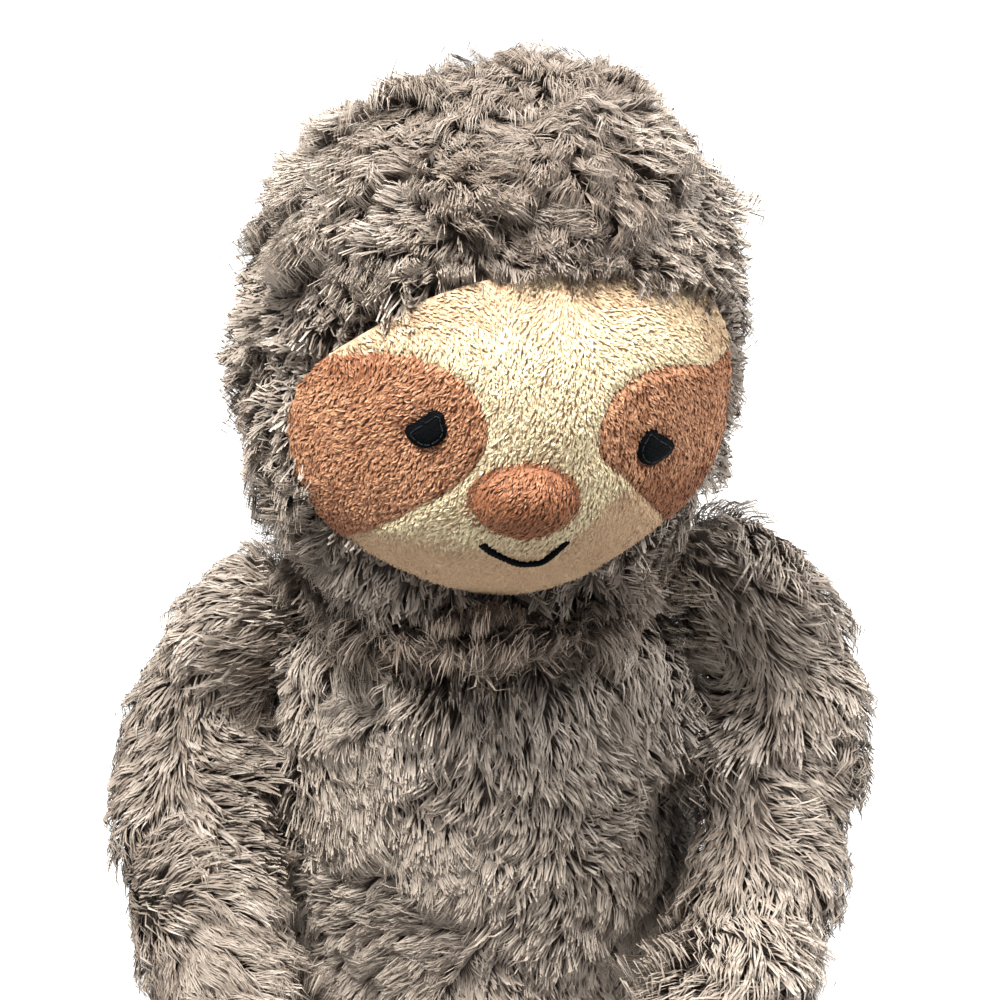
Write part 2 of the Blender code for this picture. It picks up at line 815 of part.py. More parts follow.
def paw_claws(limb, side, stations, envelope, parent, low):
    """Three soft claws side by side, their roots against the paw's end."""
    mirror = Matrix.Diagonal((side, 1, 1))
    tip, paw_radius = stations[-1]
    heading = mirror @ (tip - stations[-2][0]).normalized()
    tip = mirror @ tip
    across = heading.cross(Vector((0, 0, 1))).normalized()
    for k, reach_share in enumerate(CLAW_REACH_SHARES):
        offset = across * (k - 1) * paw_radius * CLAW_SPREAD_SHARE
        root = tip + offset - heading * CLAW_LENGTH * (1 - CLAW_OUT_SHARE)
        end = tip + offset + heading * CLAW_LENGTH * CLAW_OUT_SHARE * reach_share
        droop = Vector((0, 0, -low * CLAW_RADIUS))
        along = (
            (root, CLAW_RADIUS),
            (root.lerp(end, 0.5), CLAW_RADIUS),
            (end + droop, CLAW_RADIUS * CLAW_TIP_SHARE),
        )
        place = limb_place(along, 0, CLAW_SQUARENESS, CLAW_SQUARENESS)
        mesh = ball_mesh(f"{limb}_claw", place, 8, 6)
        for vert in mesh.vertices:
            vert.co = vert.co - (parent.matrix_world.translation if parent else Vector())
        claw = piece(f"{limb}_claw_{k + 1}", mesh, PATCH_NAP, parent)
        boolean(claw, envelope)


def swing_cutters(name, joint_at, side):
    """What the body takes from an arm at rest and at steps of its swing."""
    axis = Vector(ARM_AXIS_SHARES)
    axis = Vector((axis.x, side * axis.y, side * axis.z)).normalized()
    mesh = settled(body_grown)
    cutters = [body_grown]
    for k in range(ARM_SWING_CUTS):
        back = Matrix.Rotation(-ARM_SWING * (k + 1) / ARM_SWING_CUTS, 3, axis)
        swung = helper(f"{name}_swing_{k + 1}", mesh.copy())
        swung.rotation_mode = "QUATERNION"
        swung.rotation_quaternion = back.to_quaternion()
        swung.location = joint_at - back @ joint_at
        cutters.append(swung)
    return cutters


def limb(name, side, joint_at, stations, radius, root, cuts, seam, halves):
    """Two fur panels round a filling, hung on an empty at the joint."""
    parent = axis_empty(f"{name}_axis", joint_at)
    bpy.context.view_layer.update()
    form = limb_form(f"{name}_form", stations, side, 0, root)
    for cutter in cuts:
        boolean(form, cutter)
    ball = ellipsoid(f"{name}_ball", joint_at, (radius,) * 3)
    boolean(form, ball, "UNION")
    boolean(form, floor)
    lining = limb_form(f"{name}_lining", stations, side, PANEL_WALL, root, False)
    core = limb_form(
        f"{name}_core", stations, side, PANEL_WALL + STUFFING_GAP, root, False
    )
    shift = Matrix.Translation(-joint_at)
    mesh = settled(form)
    mesh.transform(shift)
    seam_point, seam_normal = seam
    for half_name, way in zip(halves, (1, -1)):
        obj = panel(f"{name}_{half_name}_panel", mesh, lining, [], parent)
        cutter = block(
            f"{name}_{half_name}_seam",
            (-CUTTER_REACH, -CUTTER_REACH, -CUTTER_REACH),
            (CUTTER_REACH, CUTTER_REACH, CLEARANCE / 2),
        )
        cutter.rotation_mode = "QUATERNION"
        cutter.rotation_quaternion = (seam_normal * way).to_track_quat("Z", "Y")
        cutter.location = seam_point
        boolean(obj, cutter)
    filling = settled(core)
    filling.transform(shift)
    piece(f"{name}_filling", filling, STUFFING, parent)
    return parent


for side_name, side in SIDES:
    mirror = Matrix.Diagonal((side, 1, 1, 1))
    name = f"arm_{side_name}"
    stations = arm_stations(side)
    seam_normal = (mirror @ Vector(ARM_SEAM_SHARES)).normalized()
    seam_out = Vector((ARM_RADIUS * ARM_SEAM_OUT_SHARE, 0, 0))
    seam_point = mirror @ (shoulder(side) + seam_out)
    parent = limb(
        name,
        side,
        mirror @ shoulder(side),
        stations,
        SHOULDER_RADIUS,
        ARM_ROOT_SQUARENESS,
        swing_cutters(name, mirror @ shoulder(side), side),
        (seam_point, seam_normal),
        ("outer", "inner"),
    )
    grown = limb_form(
        f"{name}_grown", stations, side, -2 * CLEARANCE, ARM_ROOT_SQUARENESS
    )
    paw_claws(name, side, stations, grown, parent, 1.0)

    name = f"leg_{side_name}"
    stations = leg_stations()
    parent = limb(
        name,
        side,
        mirror @ hip(),
        stations,
        LEG_RADIUS,
        LEG_ROOT_SQUARENESS,
        [],
        (mirror @ hip(), Vector((0, 0, 1))),
        ("top", "sole"),
    )
    grown = limb_form(
        f"{name}_grown", stations, side, -2 * CLEARANCE, LEG_ROOT_SQUARENESS
    )
    paw_claws(name, side, stations, grown, parent, 0.0)
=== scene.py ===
import itertools
import math

import bmesh
import bpy
import numpy as np
from mathutils import Euler, Matrix, Vector, noise
from mathutils.bvhtree import BVHTree
from mathutils.geometry import delaunay_2d_cdt


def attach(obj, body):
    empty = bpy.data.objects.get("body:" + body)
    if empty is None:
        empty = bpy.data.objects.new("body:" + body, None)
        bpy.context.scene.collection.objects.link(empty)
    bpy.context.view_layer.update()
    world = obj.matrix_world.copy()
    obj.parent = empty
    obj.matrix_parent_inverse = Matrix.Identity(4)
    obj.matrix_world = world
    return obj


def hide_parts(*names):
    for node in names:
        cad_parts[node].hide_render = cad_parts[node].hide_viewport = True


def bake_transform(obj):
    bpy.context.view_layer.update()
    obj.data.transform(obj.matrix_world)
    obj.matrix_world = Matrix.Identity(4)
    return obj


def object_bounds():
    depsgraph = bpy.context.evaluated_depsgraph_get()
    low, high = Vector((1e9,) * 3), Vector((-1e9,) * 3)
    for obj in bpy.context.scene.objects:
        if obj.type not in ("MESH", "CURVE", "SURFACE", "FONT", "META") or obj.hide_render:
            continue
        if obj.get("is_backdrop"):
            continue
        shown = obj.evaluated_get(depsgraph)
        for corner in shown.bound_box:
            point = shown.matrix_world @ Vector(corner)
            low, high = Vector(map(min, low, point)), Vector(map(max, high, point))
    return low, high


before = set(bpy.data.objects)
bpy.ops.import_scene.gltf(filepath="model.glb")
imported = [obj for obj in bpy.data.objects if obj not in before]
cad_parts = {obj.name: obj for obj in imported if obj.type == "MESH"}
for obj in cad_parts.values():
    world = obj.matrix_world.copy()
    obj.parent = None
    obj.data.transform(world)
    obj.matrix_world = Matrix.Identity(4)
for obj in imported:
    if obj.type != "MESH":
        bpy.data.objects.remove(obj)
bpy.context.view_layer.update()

# Camera, floor and light
# The sloth sits on a plain white floor. The camera looks down at the head from
# the front, and one broad lamp stands to the upper left, as in the photograph.
CAMERA_PLACE = (0.0062, -0.5737, 0.5251)
CAMERA_TILT = math.radians(63.0)
LENS, SENSOR = 72.0, 36.0
PHOTO_SIZE = 1000


def linked(name, data):
    obj = bpy.data.objects.new(name, data)
    bpy.context.scene.collection.objects.link(obj)
    return obj


def node_in(tree, kind, inputs=(), **settings):
    """Adds a node to a tree, and sets or links its inputs."""
    made = tree.nodes.new(kind)
    for key, value in settings.items():
        setattr(made, key, value)
    for key, value in dict(inputs).items():
        if isinstance(value, bpy.types.NodeSocket):
            tree.links.new(value, made.inputs[key])
        else:
            made.inputs[key].default_value = value
    return made


def lamp(name, place, size, energy, tint):
    """A round lamp that shines on the middle of the toy."""
    light = bpy.data.lights.new(name, "AREA")
    light.shape = "DISK"
    light.size, light.energy, light.color = size, energy, tint
    obj = linked(name, light)
    obj.location = place
    way = Vector(OBJECT_MIDDLE) - Vector(place)
    obj.rotation_euler = way.to_track_quat("-Z", "Y").to_euler()


eye = bpy.data.cameras.new("photo_camera")
eye.lens, eye.sensor_width, eye.sensor_height = LENS, SENSOR, SENSOR
camera = linked("photo_camera", eye)
camera.location = CAMERA_PLACE
camera.rotation_euler = (CAMERA_TILT, 0.0, 0.0)
bpy.context.scene.camera = camera
bpy.context.scene.view_settings.view_transform = "Standard"

OBJECT_MIDDLE = (0.0, -0.02, 0.2)
lamp("window_lamp", (-0.42, -0.28, 1.55), 0.50, 58.0, (1.0, 0.975, 0.93))
lamp("right_fill", (0.90, -0.02, 1.20), 0.7, 24.0, (1.0, 0.985, 0.96))
lamp("back_fill", (0.05, 1.0, 1.3), 1.0, 15.0, (1.0, 1.0, 1.0))

# The background that the camera sees is white, but it lights the toy only a little
SKY_TINT, SKY_STRENGTH, SEEN_STRENGTH = (0.97, 0.98, 1.0), 0.15, 1.0
world = bpy.data.worlds.new("studio")
bpy.context.scene.world = world
world.use_nodes = True
tree = world.node_tree
tree.nodes.clear()
around, seen = (
    node_in(tree, "ShaderNodeBackground", {"Color": (*tint, 1.0), "Strength": strength}).outputs[0]
    for tint, strength in ((SKY_TINT, SKY_STRENGTH), ((1.0, 1.0, 1.0), SEEN_STRENGTH)))
path = node_in(tree, "ShaderNodeLightPath")
pick = node_in(tree, "ShaderNodeMixShader", {0: path.outputs["Is Camera Ray"], 1: around, 2: seen})
node_in(tree, "ShaderNodeOutputWorld", {"Surface": pick.outputs[0]})

FLOOR_HALF, FLOOR_GREY = 4.0, 0.42
# The floor's own glow grows from the toy outwards, until it is as white as the background
GLOW_NEAR, GLOW_FAR, GLOW_LEAST, GLOW_MOST = 0.25, 0.9, 0.74, 1.0
floor_mesh = bpy.data.meshes.new("floor")
floor_mesh.from_pydata(
    [(x * FLOOR_HALF, y * FLOOR_HALF, 0.0) for x, y in ((-1, -1), (1, -1), (1, 1), (-1, 1))],
    [], [(0, 1, 2, 3)])
floor = linked("floor", floor_mesh)
floor_white = bpy.data.materials.new("floor_white")
floor_white.use_nodes = True
tree = floor_white.node_tree
tree.nodes.clear()
matt = node_in(tree, "ShaderNodeBsdfDiffuse", {"Color": (FLOOR_GREY, FLOOR_GREY, FLOOR_GREY, 1.0)})
path = node_in(tree, "ShaderNodeLightPath")
place = node_in(tree, "ShaderNodeTexCoord")
reach = node_in(tree, "ShaderNodeVectorMath", {0: place.outputs["Object"]}, operation="LENGTH")
fade = node_in(tree, "ShaderNodeMapRange", {
    "Value": reach.outputs["Value"], "From Min": GLOW_NEAR, "From Max": GLOW_FAR,
    "To Min": GLOW_LEAST, "To Max": GLOW_MOST})
glow = node_in(tree, "ShaderNodeEmission", {
    "Color": fade.outputs["Result"], "Strength": path.outputs["Is Camera Ray"]})
both = node_in(tree, "ShaderNodeAddShader", {0: matt.outputs[0], 1: glow.outputs[0]})
node_in(tree, "ShaderNodeOutputMaterial", {"Surface": both.outputs[0]})
floor_mesh.materials.append(floor_white)
floor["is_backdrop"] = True

# Stuffed forms
# Under the pile each part of the toy is a bag of knitted backing, sewn from
# panels and filled with polyester stuffing. The pile stands on this backing.
BACKING_VOXEL, HEAD_VOXEL = 0.004, 0.003
PILE_DEPTH = 0.0075
JOIN_DISTANCE = 1e-6
SMOOTHING, SMOOTH_STEPS, EASE_STEPS = 0.5, 5, 4
ARM_PANELS, LEG_PANELS = ("outer_panel", "inner_panel"), ("top_panel", "sole_panel")
STUFFED = {
    "torso": ("body_stuffed", ["body_front_panel", "body_back_panel", "body_filling"]),
    "head": ("head_stuffed", [
        "head_crown_panel", "head_left_panel", "head_right_panel", "head_throat_panel",
        "head_filling", "face_panel", "eye_patch_left", "eye_patch_right"]),
    "neck": ("neck_stuffed", ["neck_filling", "neck_collar"]),
}
for side in ("left", "right"):
    for limb, panels in (("arm", ARM_PANELS), ("leg", LEG_PANELS)):
        STUFFED[f"{limb}_{side}"] = (
            f"{limb}_{side}_stuffed",
            [f"{limb}_{side}_{part}" for part in (*panels, "filling")])


def settled(obj):
    """The object's mesh with its modifiers applied, left on it as a plain mesh."""
    bpy.context.view_layer.update()
    graph = bpy.context.evaluated_depsgraph_get()
    made = bpy.data.meshes.new_from_object(obj.evaluated_get(graph))
    obj.modifiers.clear()
    old, obj.data = obj.data, made
    made.name = obj.name
    bpy.data.meshes.remove(old)
    return obj


def sewn_copy(name, panels):
    """One mesh of several CAD nodes, with their loose corners joined."""
    bm = bmesh.new()
    for panel in panels:
        bm.from_mesh(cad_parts[panel].data)
    bmesh.ops.remove_doubles(bm, verts=bm.verts, dist=JOIN_DISTANCE)
    mesh = bpy.data.meshes.new(name)
    bm.to_mesh(mesh)
    bm.free()
    return linked(name, mesh)


def outer_bag(obj):
    """Keeps the largest closed surface and drops what was inside it."""
    bm = bmesh.new()
    bm.from_mesh(obj.data)
    left, bags = set(bm.verts), []
    while left:
        stack, bag = [left.pop()], []
        while stack:
            vert = stack.pop()
            bag.append(vert)
            for edge in vert.link_edges:
                other = edge.other_vert(vert)
                if other in left:
                    left.remove(other)
                    stack.append(other)
        bags.append(bag)
    bags.sort(key=len)
    bmesh.ops.delete(bm, geom=[v for bag in bags[:-1] for v in bag], context="VERTS")
    bm.to_mesh(obj.data)
    bm.free()


def stuffed_form(name, panels, voxel, depth, rounds=3):
    """The panels' outer shape, rounded as a stuffed bag and drawn in by depth."""
    obj = sewn_copy(name, panels)
    remesh = obj.modifiers.new("remesh", "REMESH")
    remesh.mode, remesh.voxel_size = "VOXEL", voxel
    settled(obj)
    outer_bag(obj)
    for _ in range(rounds):
        smooth = obj.modifiers.new("smooth", "SMOOTH")
        smooth.factor, smooth.iterations = SMOOTHING, SMOOTH_STEPS
        shrink = obj.modifiers.new("shrink", "DISPLACE")
        shrink.mid_level, shrink.strength = 0.0, -depth / rounds
    settled(obj)
    obj.data.shade_smooth()
    return obj


def noded_material(name, **looks):
    """A material, its tree and its shader, with the shader's looks set."""
    made = bpy.data.materials.new(name)
    made.use_nodes = True
    shader = made.node_tree.nodes["Principled BSDF"]
    for title, value in looks.items():
        shader.inputs[title.replace("_", " ")].default_value = value
    return made, made.node_tree, shader


def ramp(tree, share, *stops):
    """Colours between two stops, each a place on the ramp and a colour."""
    made = node_in(tree, "ShaderNodeValToRGB", {"Fac": share})
    for element, (at, colour) in zip(made.color_ramp.elements, stops):
        element.position, element.color = at, (*colour, 1.0)
    return made.outputs["Color"]


def rough_noise(tree, shader, scale, detail, height):
    """Noise on the object's own places, which also roughens the surface by its height."""
    place = node_in(tree, "ShaderNodeTexCoord")
    made = node_in(tree, "ShaderNodeTexNoise", {
        "Vector": place.outputs["Object"], "Scale": scale, "Detail": detail}).outputs["Fac"]
    bump = node_in(tree, "ShaderNodeBump", {"Distance": height, "Height": made})
    tree.links.new(bump.outputs["Normal"], shader.inputs["Normal"])
    return made


def knit_backing(name, dark, light, roughness=0.95):
    """Knitted backing cloth: fine loops in rows, seen only between the locks."""
    made, tree, shader = noded_material(name, Roughness=roughness)
    fluff = rough_noise(tree, shader, scale=260.0, detail=4.0, height=0.0006)
    tree.links.new(ramp(tree, fluff, (0.35, dark), (0.7, light)), shader.inputs["Base Color"])
    return made


# Where the stuffing is pressed flatter than the panels' pattern, as a direction, how
# far the backing reaches along it, and how much of the rest is pressed away: both
# shoulders slope down from the neck, and the crown slopes down to the left
SLOPES = {
    "arm_left": ((-0.8077, 0.0, 0.5898), 0.1870, 0.85),
    "arm_right": ((0.730, 0.311, 0.610), 0.1995, 0.75),
    "head": ((-0.385, 0.419, 0.8224), 0.3035, 0.8),
}
# Where it is fuller: the middle of the place, its size, and how far it moves
FULLNESS = {
    "arm_left": [((-0.068, 0.0, 0.195), 0.040, (0.007, 0.0, 0.011)),
                 ((-0.066, -0.015, 0.190), 0.030, (0.005, 0.0, 0.0)),
                 ((-0.080, -0.02, 0.150), 0.040, (0.004, 0.0, 0.0))],
    "arm_right": [((0.086, 0.0, 0.205), 0.050, (0.002, 0.0, 0.016)),
                  ((0.066, 0.0, 0.205), 0.035, (-0.007, 0.0, 0.012)),
                  ((0.066, -0.015, 0.190), 0.030, (-0.006, 0.0, 0.0)),
                  ((0.118, 0.0, 0.165), 0.060, (0.009, 0.0, 0.002)),
                  ((0.080, -0.02, 0.150), 0.040, (-0.006, 0.0, 0.0))],
    "neck": [((0.0, -0.045, 0.207), 0.055, (0.0, -0.010, 0.0)),
             ((0.0, -0.045, 0.225), 0.055, (0.0, -0.004, 0.012)),
             ((-0.062, 0.0, 0.215), 0.040, (-0.008, 0.0, 0.006)),
             ((0.062, 0.0, 0.215), 0.040, (0.010, 0.0, 0.008))],
    "torso": [((-0.062, -0.015, 0.190), 0.030, (-0.006, 0.0, 0.002)),
              ((0.062, -0.015, 0.190), 0.030, (0.006, 0.0, 0.002)),
              ((-0.075, -0.02, 0.160), 0.045, (-0.005, 0.0, 0.0)),
              ((0.075, -0.02, 0.160), 0.045, (0.008, 0.0, 0.0))],
}
# The pelt lies in soft folds over the stuffing: their size and how far they stand
BODY_FOLDS, HEAD_FOLDS = ((0.024, 0.0020), (0.011, 0.0009)), ((0.024, 0.0030), (0.012, 0.0014))
# The fur's backing is dark, as painted shade at the foot of the pile
backing = knit_backing("fur_backing_painted_shade", (0.05, 0.041, 0.034), (0.10, 0.083, 0.069))
forms = {}
for body, (name, panels) in STUFFED.items():
    voxel = HEAD_VOXEL if body == "head" else BACKING_VOXEL
    form = stuffed_form(name, panels, voxel, PILE_DEPTH)
    corners = form.data.vertices
    for middle, size, push in FULLNESS.get(body, ()):
        for vert in corners:
            far = (vert.co - Vector(middle)).length / size
            vert.co += Vector(push) * max(0.0, 1 - far * far) ** 2
    if body in SLOPES:
        slope, reach, share = SLOPES[body]
        slope = Vector(slope).normalized()
        for vert in corners:
            over = vert.co.dot(slope) - reach
            if over > 0:
                vert.co -= slope * over * share
    if body in SLOPES or body in FULLNESS:
        form.data.update()
        ease = form.modifiers.new("ease", "SMOOTH")
        ease.factor, ease.iterations = SMOOTHING, EASE_STEPS
        settled(form)
    for size, stands in HEAD_FOLDS if body == "head" else BODY_FOLDS:
        moved = [vert.co + vert.normal * stands * noise.noise(vert.co / size)
                 for vert in form.data.vertices]
        for vert, place in zip(form.data.vertices, moved):
            vert.co = place
        form.data.update()
    form.data.materials.clear()
    form.data.materials.append(backing)
    forms[body] = form

# Long pile
# The grey-brown fur is a long pile fabric: curly polyester fibres, 9 to 12 mm
# long, knitted into the backing and brushed. They lie in locks and in patches
# that turn about whorls. Each real panel has its own pile, all from one tree.
PILE_SIZES = (
    "Strands per square metre", "Strand width", "Strand length", "Pile height", "Lock size", "Patch size",
    "Lock pull", "Lock turn", "Patch turn", "Strand turn", "Curl", "Strand curl", "Tip curl", "Layering",
    "Pelt shading", "Roll")
STRAND_ROWS = 4
GROUND_GAP = 0.0004
LOCK_SHIFT, PATCH_SHIFT = 3.0, 5.0


def modifier_tree(name, inputs):
    """A tree for a modifier, with its inputs, and the node that gives their values."""
    tree = bpy.data.node_groups.new(name, "GeometryNodeTree")
    for title, kind in (("Geometry", "Geometry"), *inputs):
        tree.interface.new_socket(title, in_out="INPUT", socket_type=f"NodeSocket{kind}")
    tree.interface.new_socket("Geometry", in_out="OUTPUT", socket_type="NodeSocketGeometry")
    return tree, tree.nodes.new("NodeGroupInput").outputs


def run_tree(obj, tree, **values):
    """Adds the tree to an object as a modifier, and sets its inputs."""
    run = obj.modifiers.new(tree.name, "NODES")
    run.node_group = tree
    titles = {item.name: item.identifier for item in tree.interface.items_tree
              if item.item_type == "SOCKET" and item.in_out == "INPUT"}
    for title, value in values.items():
        run[titles[title.replace("_", " ")]] = value
    return run


def pile_tree():
    """The tree that grows tapered strands in locks on a panel's backing."""
    tree, given = modifier_tree("pile", [(title, "Float") for title in PILE_SIZES]
                                + [("Seed", "Int"), ("Fibre material", "Material")])

    def node(kind, inputs=(), **settings):
        return node_in(tree, kind, inputs, **settings)

    def math_of(operation, *values):
        return node("ShaderNodeMath", enumerate(values), operation=operation).outputs[0]

    def times(*values):
        return math_of("MULTIPLY", *values)

    def plus(*values):
        return math_of("ADD", *values)

    def spread(value, gain, least):
        return math_of("MULTIPLY_ADD", value, gain, least)

    def vector_of(operation, *values):
        made = node("ShaderNodeVectorMath", operation=operation)
        places = [0, 3] if operation == "SCALE" else range(3)
        for at, value in zip(places, values):
            if isinstance(value, bpy.types.NodeSocket):
                tree.links.new(value, made.inputs[at])
            else:
                made.inputs[at].default_value = value
        return made.outputs["Value" if operation == "DOT_PRODUCT" else "Vector"]

    def scaled(vector, share):
        return vector_of("SCALE", vector, share)

    def added(first, *others):
        for other in others:
            first = vector_of("ADD", first, other)
        return first

    def off_axis(vector, axis):
        """What is left of a vector across an axis."""
        return vector_of("SUBTRACT", vector, scaled(axis, vector_of("DOT_PRODUCT", vector, axis)))

    def split(vector):
        return node("ShaderNodeSeparateXYZ", {"Vector": vector}).outputs

    def groomed(title, kind="FLOAT"):
        return node("GeometryNodeInputNamedAttribute", {"Name": title}, data_type=kind).outputs["Attribute"]

    def swing(share, reach):
        """From -reach to reach as share goes from 0 to 1."""
        return times(spread(share, 2.0, -1.0), reach)

    def captured(geometry, domain, **fields):
        made = node("GeometryNodeCaptureAttribute", {0: geometry}, domain=domain)
        for i, (title, field) in enumerate(fields.items()):
            kind = "VECTOR" if field.type == "VECTOR" else "FLOAT"
            made.capture_items.new(kind, title)
            tree.links.new(field, made.inputs[1 + i])
        return made.outputs[0], {title: made.outputs[1 + i] for i, title in enumerate(fields)}

    # The strand: a narrow strip that ends in a point
    strip = node("GeometryNodeMeshGrid", {"Size X": 1.0, "Size Y": 1.0, "Vertices X": 2, "Vertices Y": STRAND_ROWS})
    cut = node("GeometryNodeTriangulate", {"Mesh": strip.outputs["Mesh"]}, quad_method="FIXED")
    tip = node("FunctionNodeCompare", {2: node("GeometryNodeInputIndex").outputs[0], 3: STRAND_ROWS - 1},
               data_type="INT", operation="EQUAL")
    pointed = node("GeometryNodeDeleteGeometry", {"Geometry": cut.outputs[0], "Selection": tip.outputs[0]})
    here = split(node("GeometryNodeInputPosition").outputs[0])
    strand, drawn = captured(pointed.outputs[0], "POINT", side=times(here["X"], 2.0), along=plus(here["Y"], 0.5))

    # The roots, thick or thin as the panel says
    roots = node("GeometryNodeDistributePointsOnFaces", {
        "Mesh": given["Geometry"], "Density": times(given["Strands per square metre"], groomed("thick")),
        "Seed": given["Seed"]}, distribute_method="RANDOM")
    root = node("GeometryNodeInputPosition").outputs[0]
    up = vector_of("NORMALIZE", groomed("up", "FLOAT_VECTOR"))
    chance = node("FunctionNodeRandomValue", {"Seed": given["Seed"]}, data_type="FLOAT_VECTOR")
    by_strand = split(chance.outputs[0])

    def cells(size, shift):
        made = node("ShaderNodeTexVoronoi", {
            "Vector": added(root, (shift, shift, shift)), "Scale": math_of("DIVIDE", 1.0, size)})
        middle = vector_of("SUBTRACT", made.outputs["Position"], (shift, shift, shift))
        return split(made.outputs["Color"]), middle

    by_lock, lock_middle = cells(given["Lock size"], LOCK_SHIFT)
    by_patch, patch_middle = cells(given["Patch size"], PATCH_SHIFT)

    # Which way each strand lies, and where it is in its patch
    turn = plus(plus(swing(by_lock["X"], given["Lock turn"]), swing(by_patch["X"], given["Patch turn"])),
                swing(by_strand["X"], given["Strand turn"]))
    combed = vector_of("NORMALIZE", off_axis(groomed("comb", "FLOAT_VECTOR"), up))
    turned = node("ShaderNodeVectorRotate", {"Vector": combed, "Axis": up, "Angle": turn}).outputs[0]
    across = vector_of("CROSS_PRODUCT", turned, up)
    downstream = vector_of("DOT_PRODUCT", vector_of("SUBTRACT", root, patch_middle), turned)
    downstream = plus(math_of("DIVIDE", downstream, given["Patch size"]), 0.5)
    downstream = node("ShaderNodeClamp", {"Value": downstream}).outputs[0]
    layer = times(given["Layering"], math_of("SUBTRACT", downstream, 0.5))

    # How long, high and wide it is, and its tone, which carries the painted light and shade
    length = times(given["Strand length"], groomed("reach"))
    for share in (spread(by_lock["Y"], 0.5, 0.75), spread(by_strand["Y"], 0.4, 0.8), spread(layer, 0.5, 1.0)):
        length = times(length, share)
    height = times(given["Pile height"], groomed("rise"))
    for share in (spread(by_patch["Y"], 0.5, 0.7), plus(1.0, layer), spread(by_lock["Z"], 0.4, 0.75),
                  spread(by_strand["Z"], 0.25, 0.85)):
        height = times(height, share)
    roll = swing(by_strand["X"], given["Roll"])
    face_way = added(scaled(across, math_of("COSINE", roll)), scaled(up, math_of("SINE", roll)))
    half_width = times(times(given["Strand width"], spread(by_strand["Y"], 0.3, 0.35)), groomed("broad"))
    tone = plus(times(by_lock["Z"], 0.5), plus(times(by_strand["Z"], 0.2), times(by_patch["Z"], 0.3)))
    grown, held = captured(
        roots.outputs["Points"], "POINT",
        root=root, rise=scaled(up, height), lie=scaled(turned, length),
        gather=scaled(off_axis(vector_of("SUBTRACT", lock_middle, root), up), given["Lock pull"]),
        broad=scaled(face_way, half_width),
        hook=scaled(across, plus(swing(by_lock["Y"], given["Curl"]), swing(by_strand["Z"], given["Strand curl"]))),
        up=up, phase=times(plus(by_lock["X"], by_strand["Y"]), math.pi), tone=plus(tone, groomed("tone_and_painted_light")))

    # Every strand bends from its root to its tip
    placed = node("GeometryNodeInstanceOnPoints", {"Points": grown, "Instance": strand})
    real = node("GeometryNodeRealizeInstances", {"Geometry": placed.outputs[0]}).outputs[0]
    t, side = drawn["along"], drawn["side"]
    t_square = times(t, t)
    t_fourth = times(t_square, t_square)
    rising = math_of("SUBTRACT", times(t, math_of("SUBTRACT", 2.0, t)), times(t_fourth, given["Tip curl"]))
    lying = math_of("SUBTRACT", times(t, spread(t, 0.6, 0.4)), times(t_fourth, times(given["Tip curl"], 0.5)))
    breadth = times(side, math_of("SUBTRACT", 1.0, math_of("POWER", t, 6.0)))
    wave = math_of("SINE", spread(t, 7.0, held["phase"]))
    wave = times(plus(times(wave, 0.4), t_square), t)
    xyz = split(added(held["root"], scaled(held["rise"], rising), scaled(held["lie"], lying),
                      scaled(held["gather"], math_of("POWER", t, 1.4)), scaled(held["broad"], breadth),
                      scaled(held["hook"], wave)))
    place = node("ShaderNodeCombineXYZ", {
        "X": xyz["X"], "Y": xyz["Y"], "Z": math_of("MAXIMUM", xyz["Z"], GROUND_GAP)}).outputs[0]
    bent = node("GeometryNodeSetPosition", {"Geometry": real, "Position": place})
    tone_at = node("ShaderNodeCombineXYZ", {"X": spread(side, 0.002, held["tone"]), "Y": t}).outputs[0]
    own = node("GeometryNodeInputNormal").outputs[0]
    shading = added(scaled(held["up"], given["Pelt shading"]),
                    scaled(own, math_of("SUBTRACT", 1.0, given["Pelt shading"])))
    shaded = node("GeometryNodeSetMeshNormal", {
        "Mesh": bent.outputs[0], "Custom Normal": vector_of("NORMALIZE", shading)}, mode="FREE", domain="POINT")
    marked = node("GeometryNodeStoreNamedAttribute", {
        "Geometry": shaded.outputs[0], "Name": "OFBake", "Value": tone_at}, data_type="FLOAT2", domain="CORNER")
    dyed = node("GeometryNodeSetMaterial", {"Geometry": marked.outputs[0], "Material": given["Fibre material"]})
    node("NodeGroupOutput", {0: dyed.outputs[0]})
    return tree


PILE_TREE = pile_tree()


def fibre(name, root, dark, light, roughness, specular):
    """Fibre: darker at the root, as painted shade deep in the pile, and its tone differs from lock to lock."""
    made, tree, shader = noded_material(name, Roughness=roughness, Specular_IOR_Level=specular)
    at = node_in(tree, "ShaderNodeUVMap", uv_map="OFBake")
    part = node_in(tree, "ShaderNodeSeparateXYZ", {0: at.outputs["UV"]}).outputs
    depth = ramp(tree, part["Y"], (0.05, (0.0, 0.0, 0.0)), (0.6, (1.0, 1.0, 1.0)))
    tone = ramp(tree, part["X"], (0.15, dark), (0.85, light))
    mix = node_in(tree, "ShaderNodeMix", {0: depth, 6: (*root, 1.0), 7: tone}, data_type="RGBA")
    tree.links.new(mix.outputs[2], shader.inputs["Base Color"])
    return made


def grown_pile(name, backing_obj, material, seed, **sizes):
    """Runs the pile tree on a backing and returns the strands as a plain mesh."""
    run = run_tree(backing_obj, PILE_TREE, Fibre_material=material, Seed=seed, **sizes)
    bpy.context.view_layer.update()
    graph = bpy.context.evaluated_depsgraph_get()
    mesh = bpy.data.meshes.new_from_object(backing_obj.evaluated_get(graph))
    mesh.name = name
    backing_obj.modifiers.remove(run)
    return linked(name, mesh)


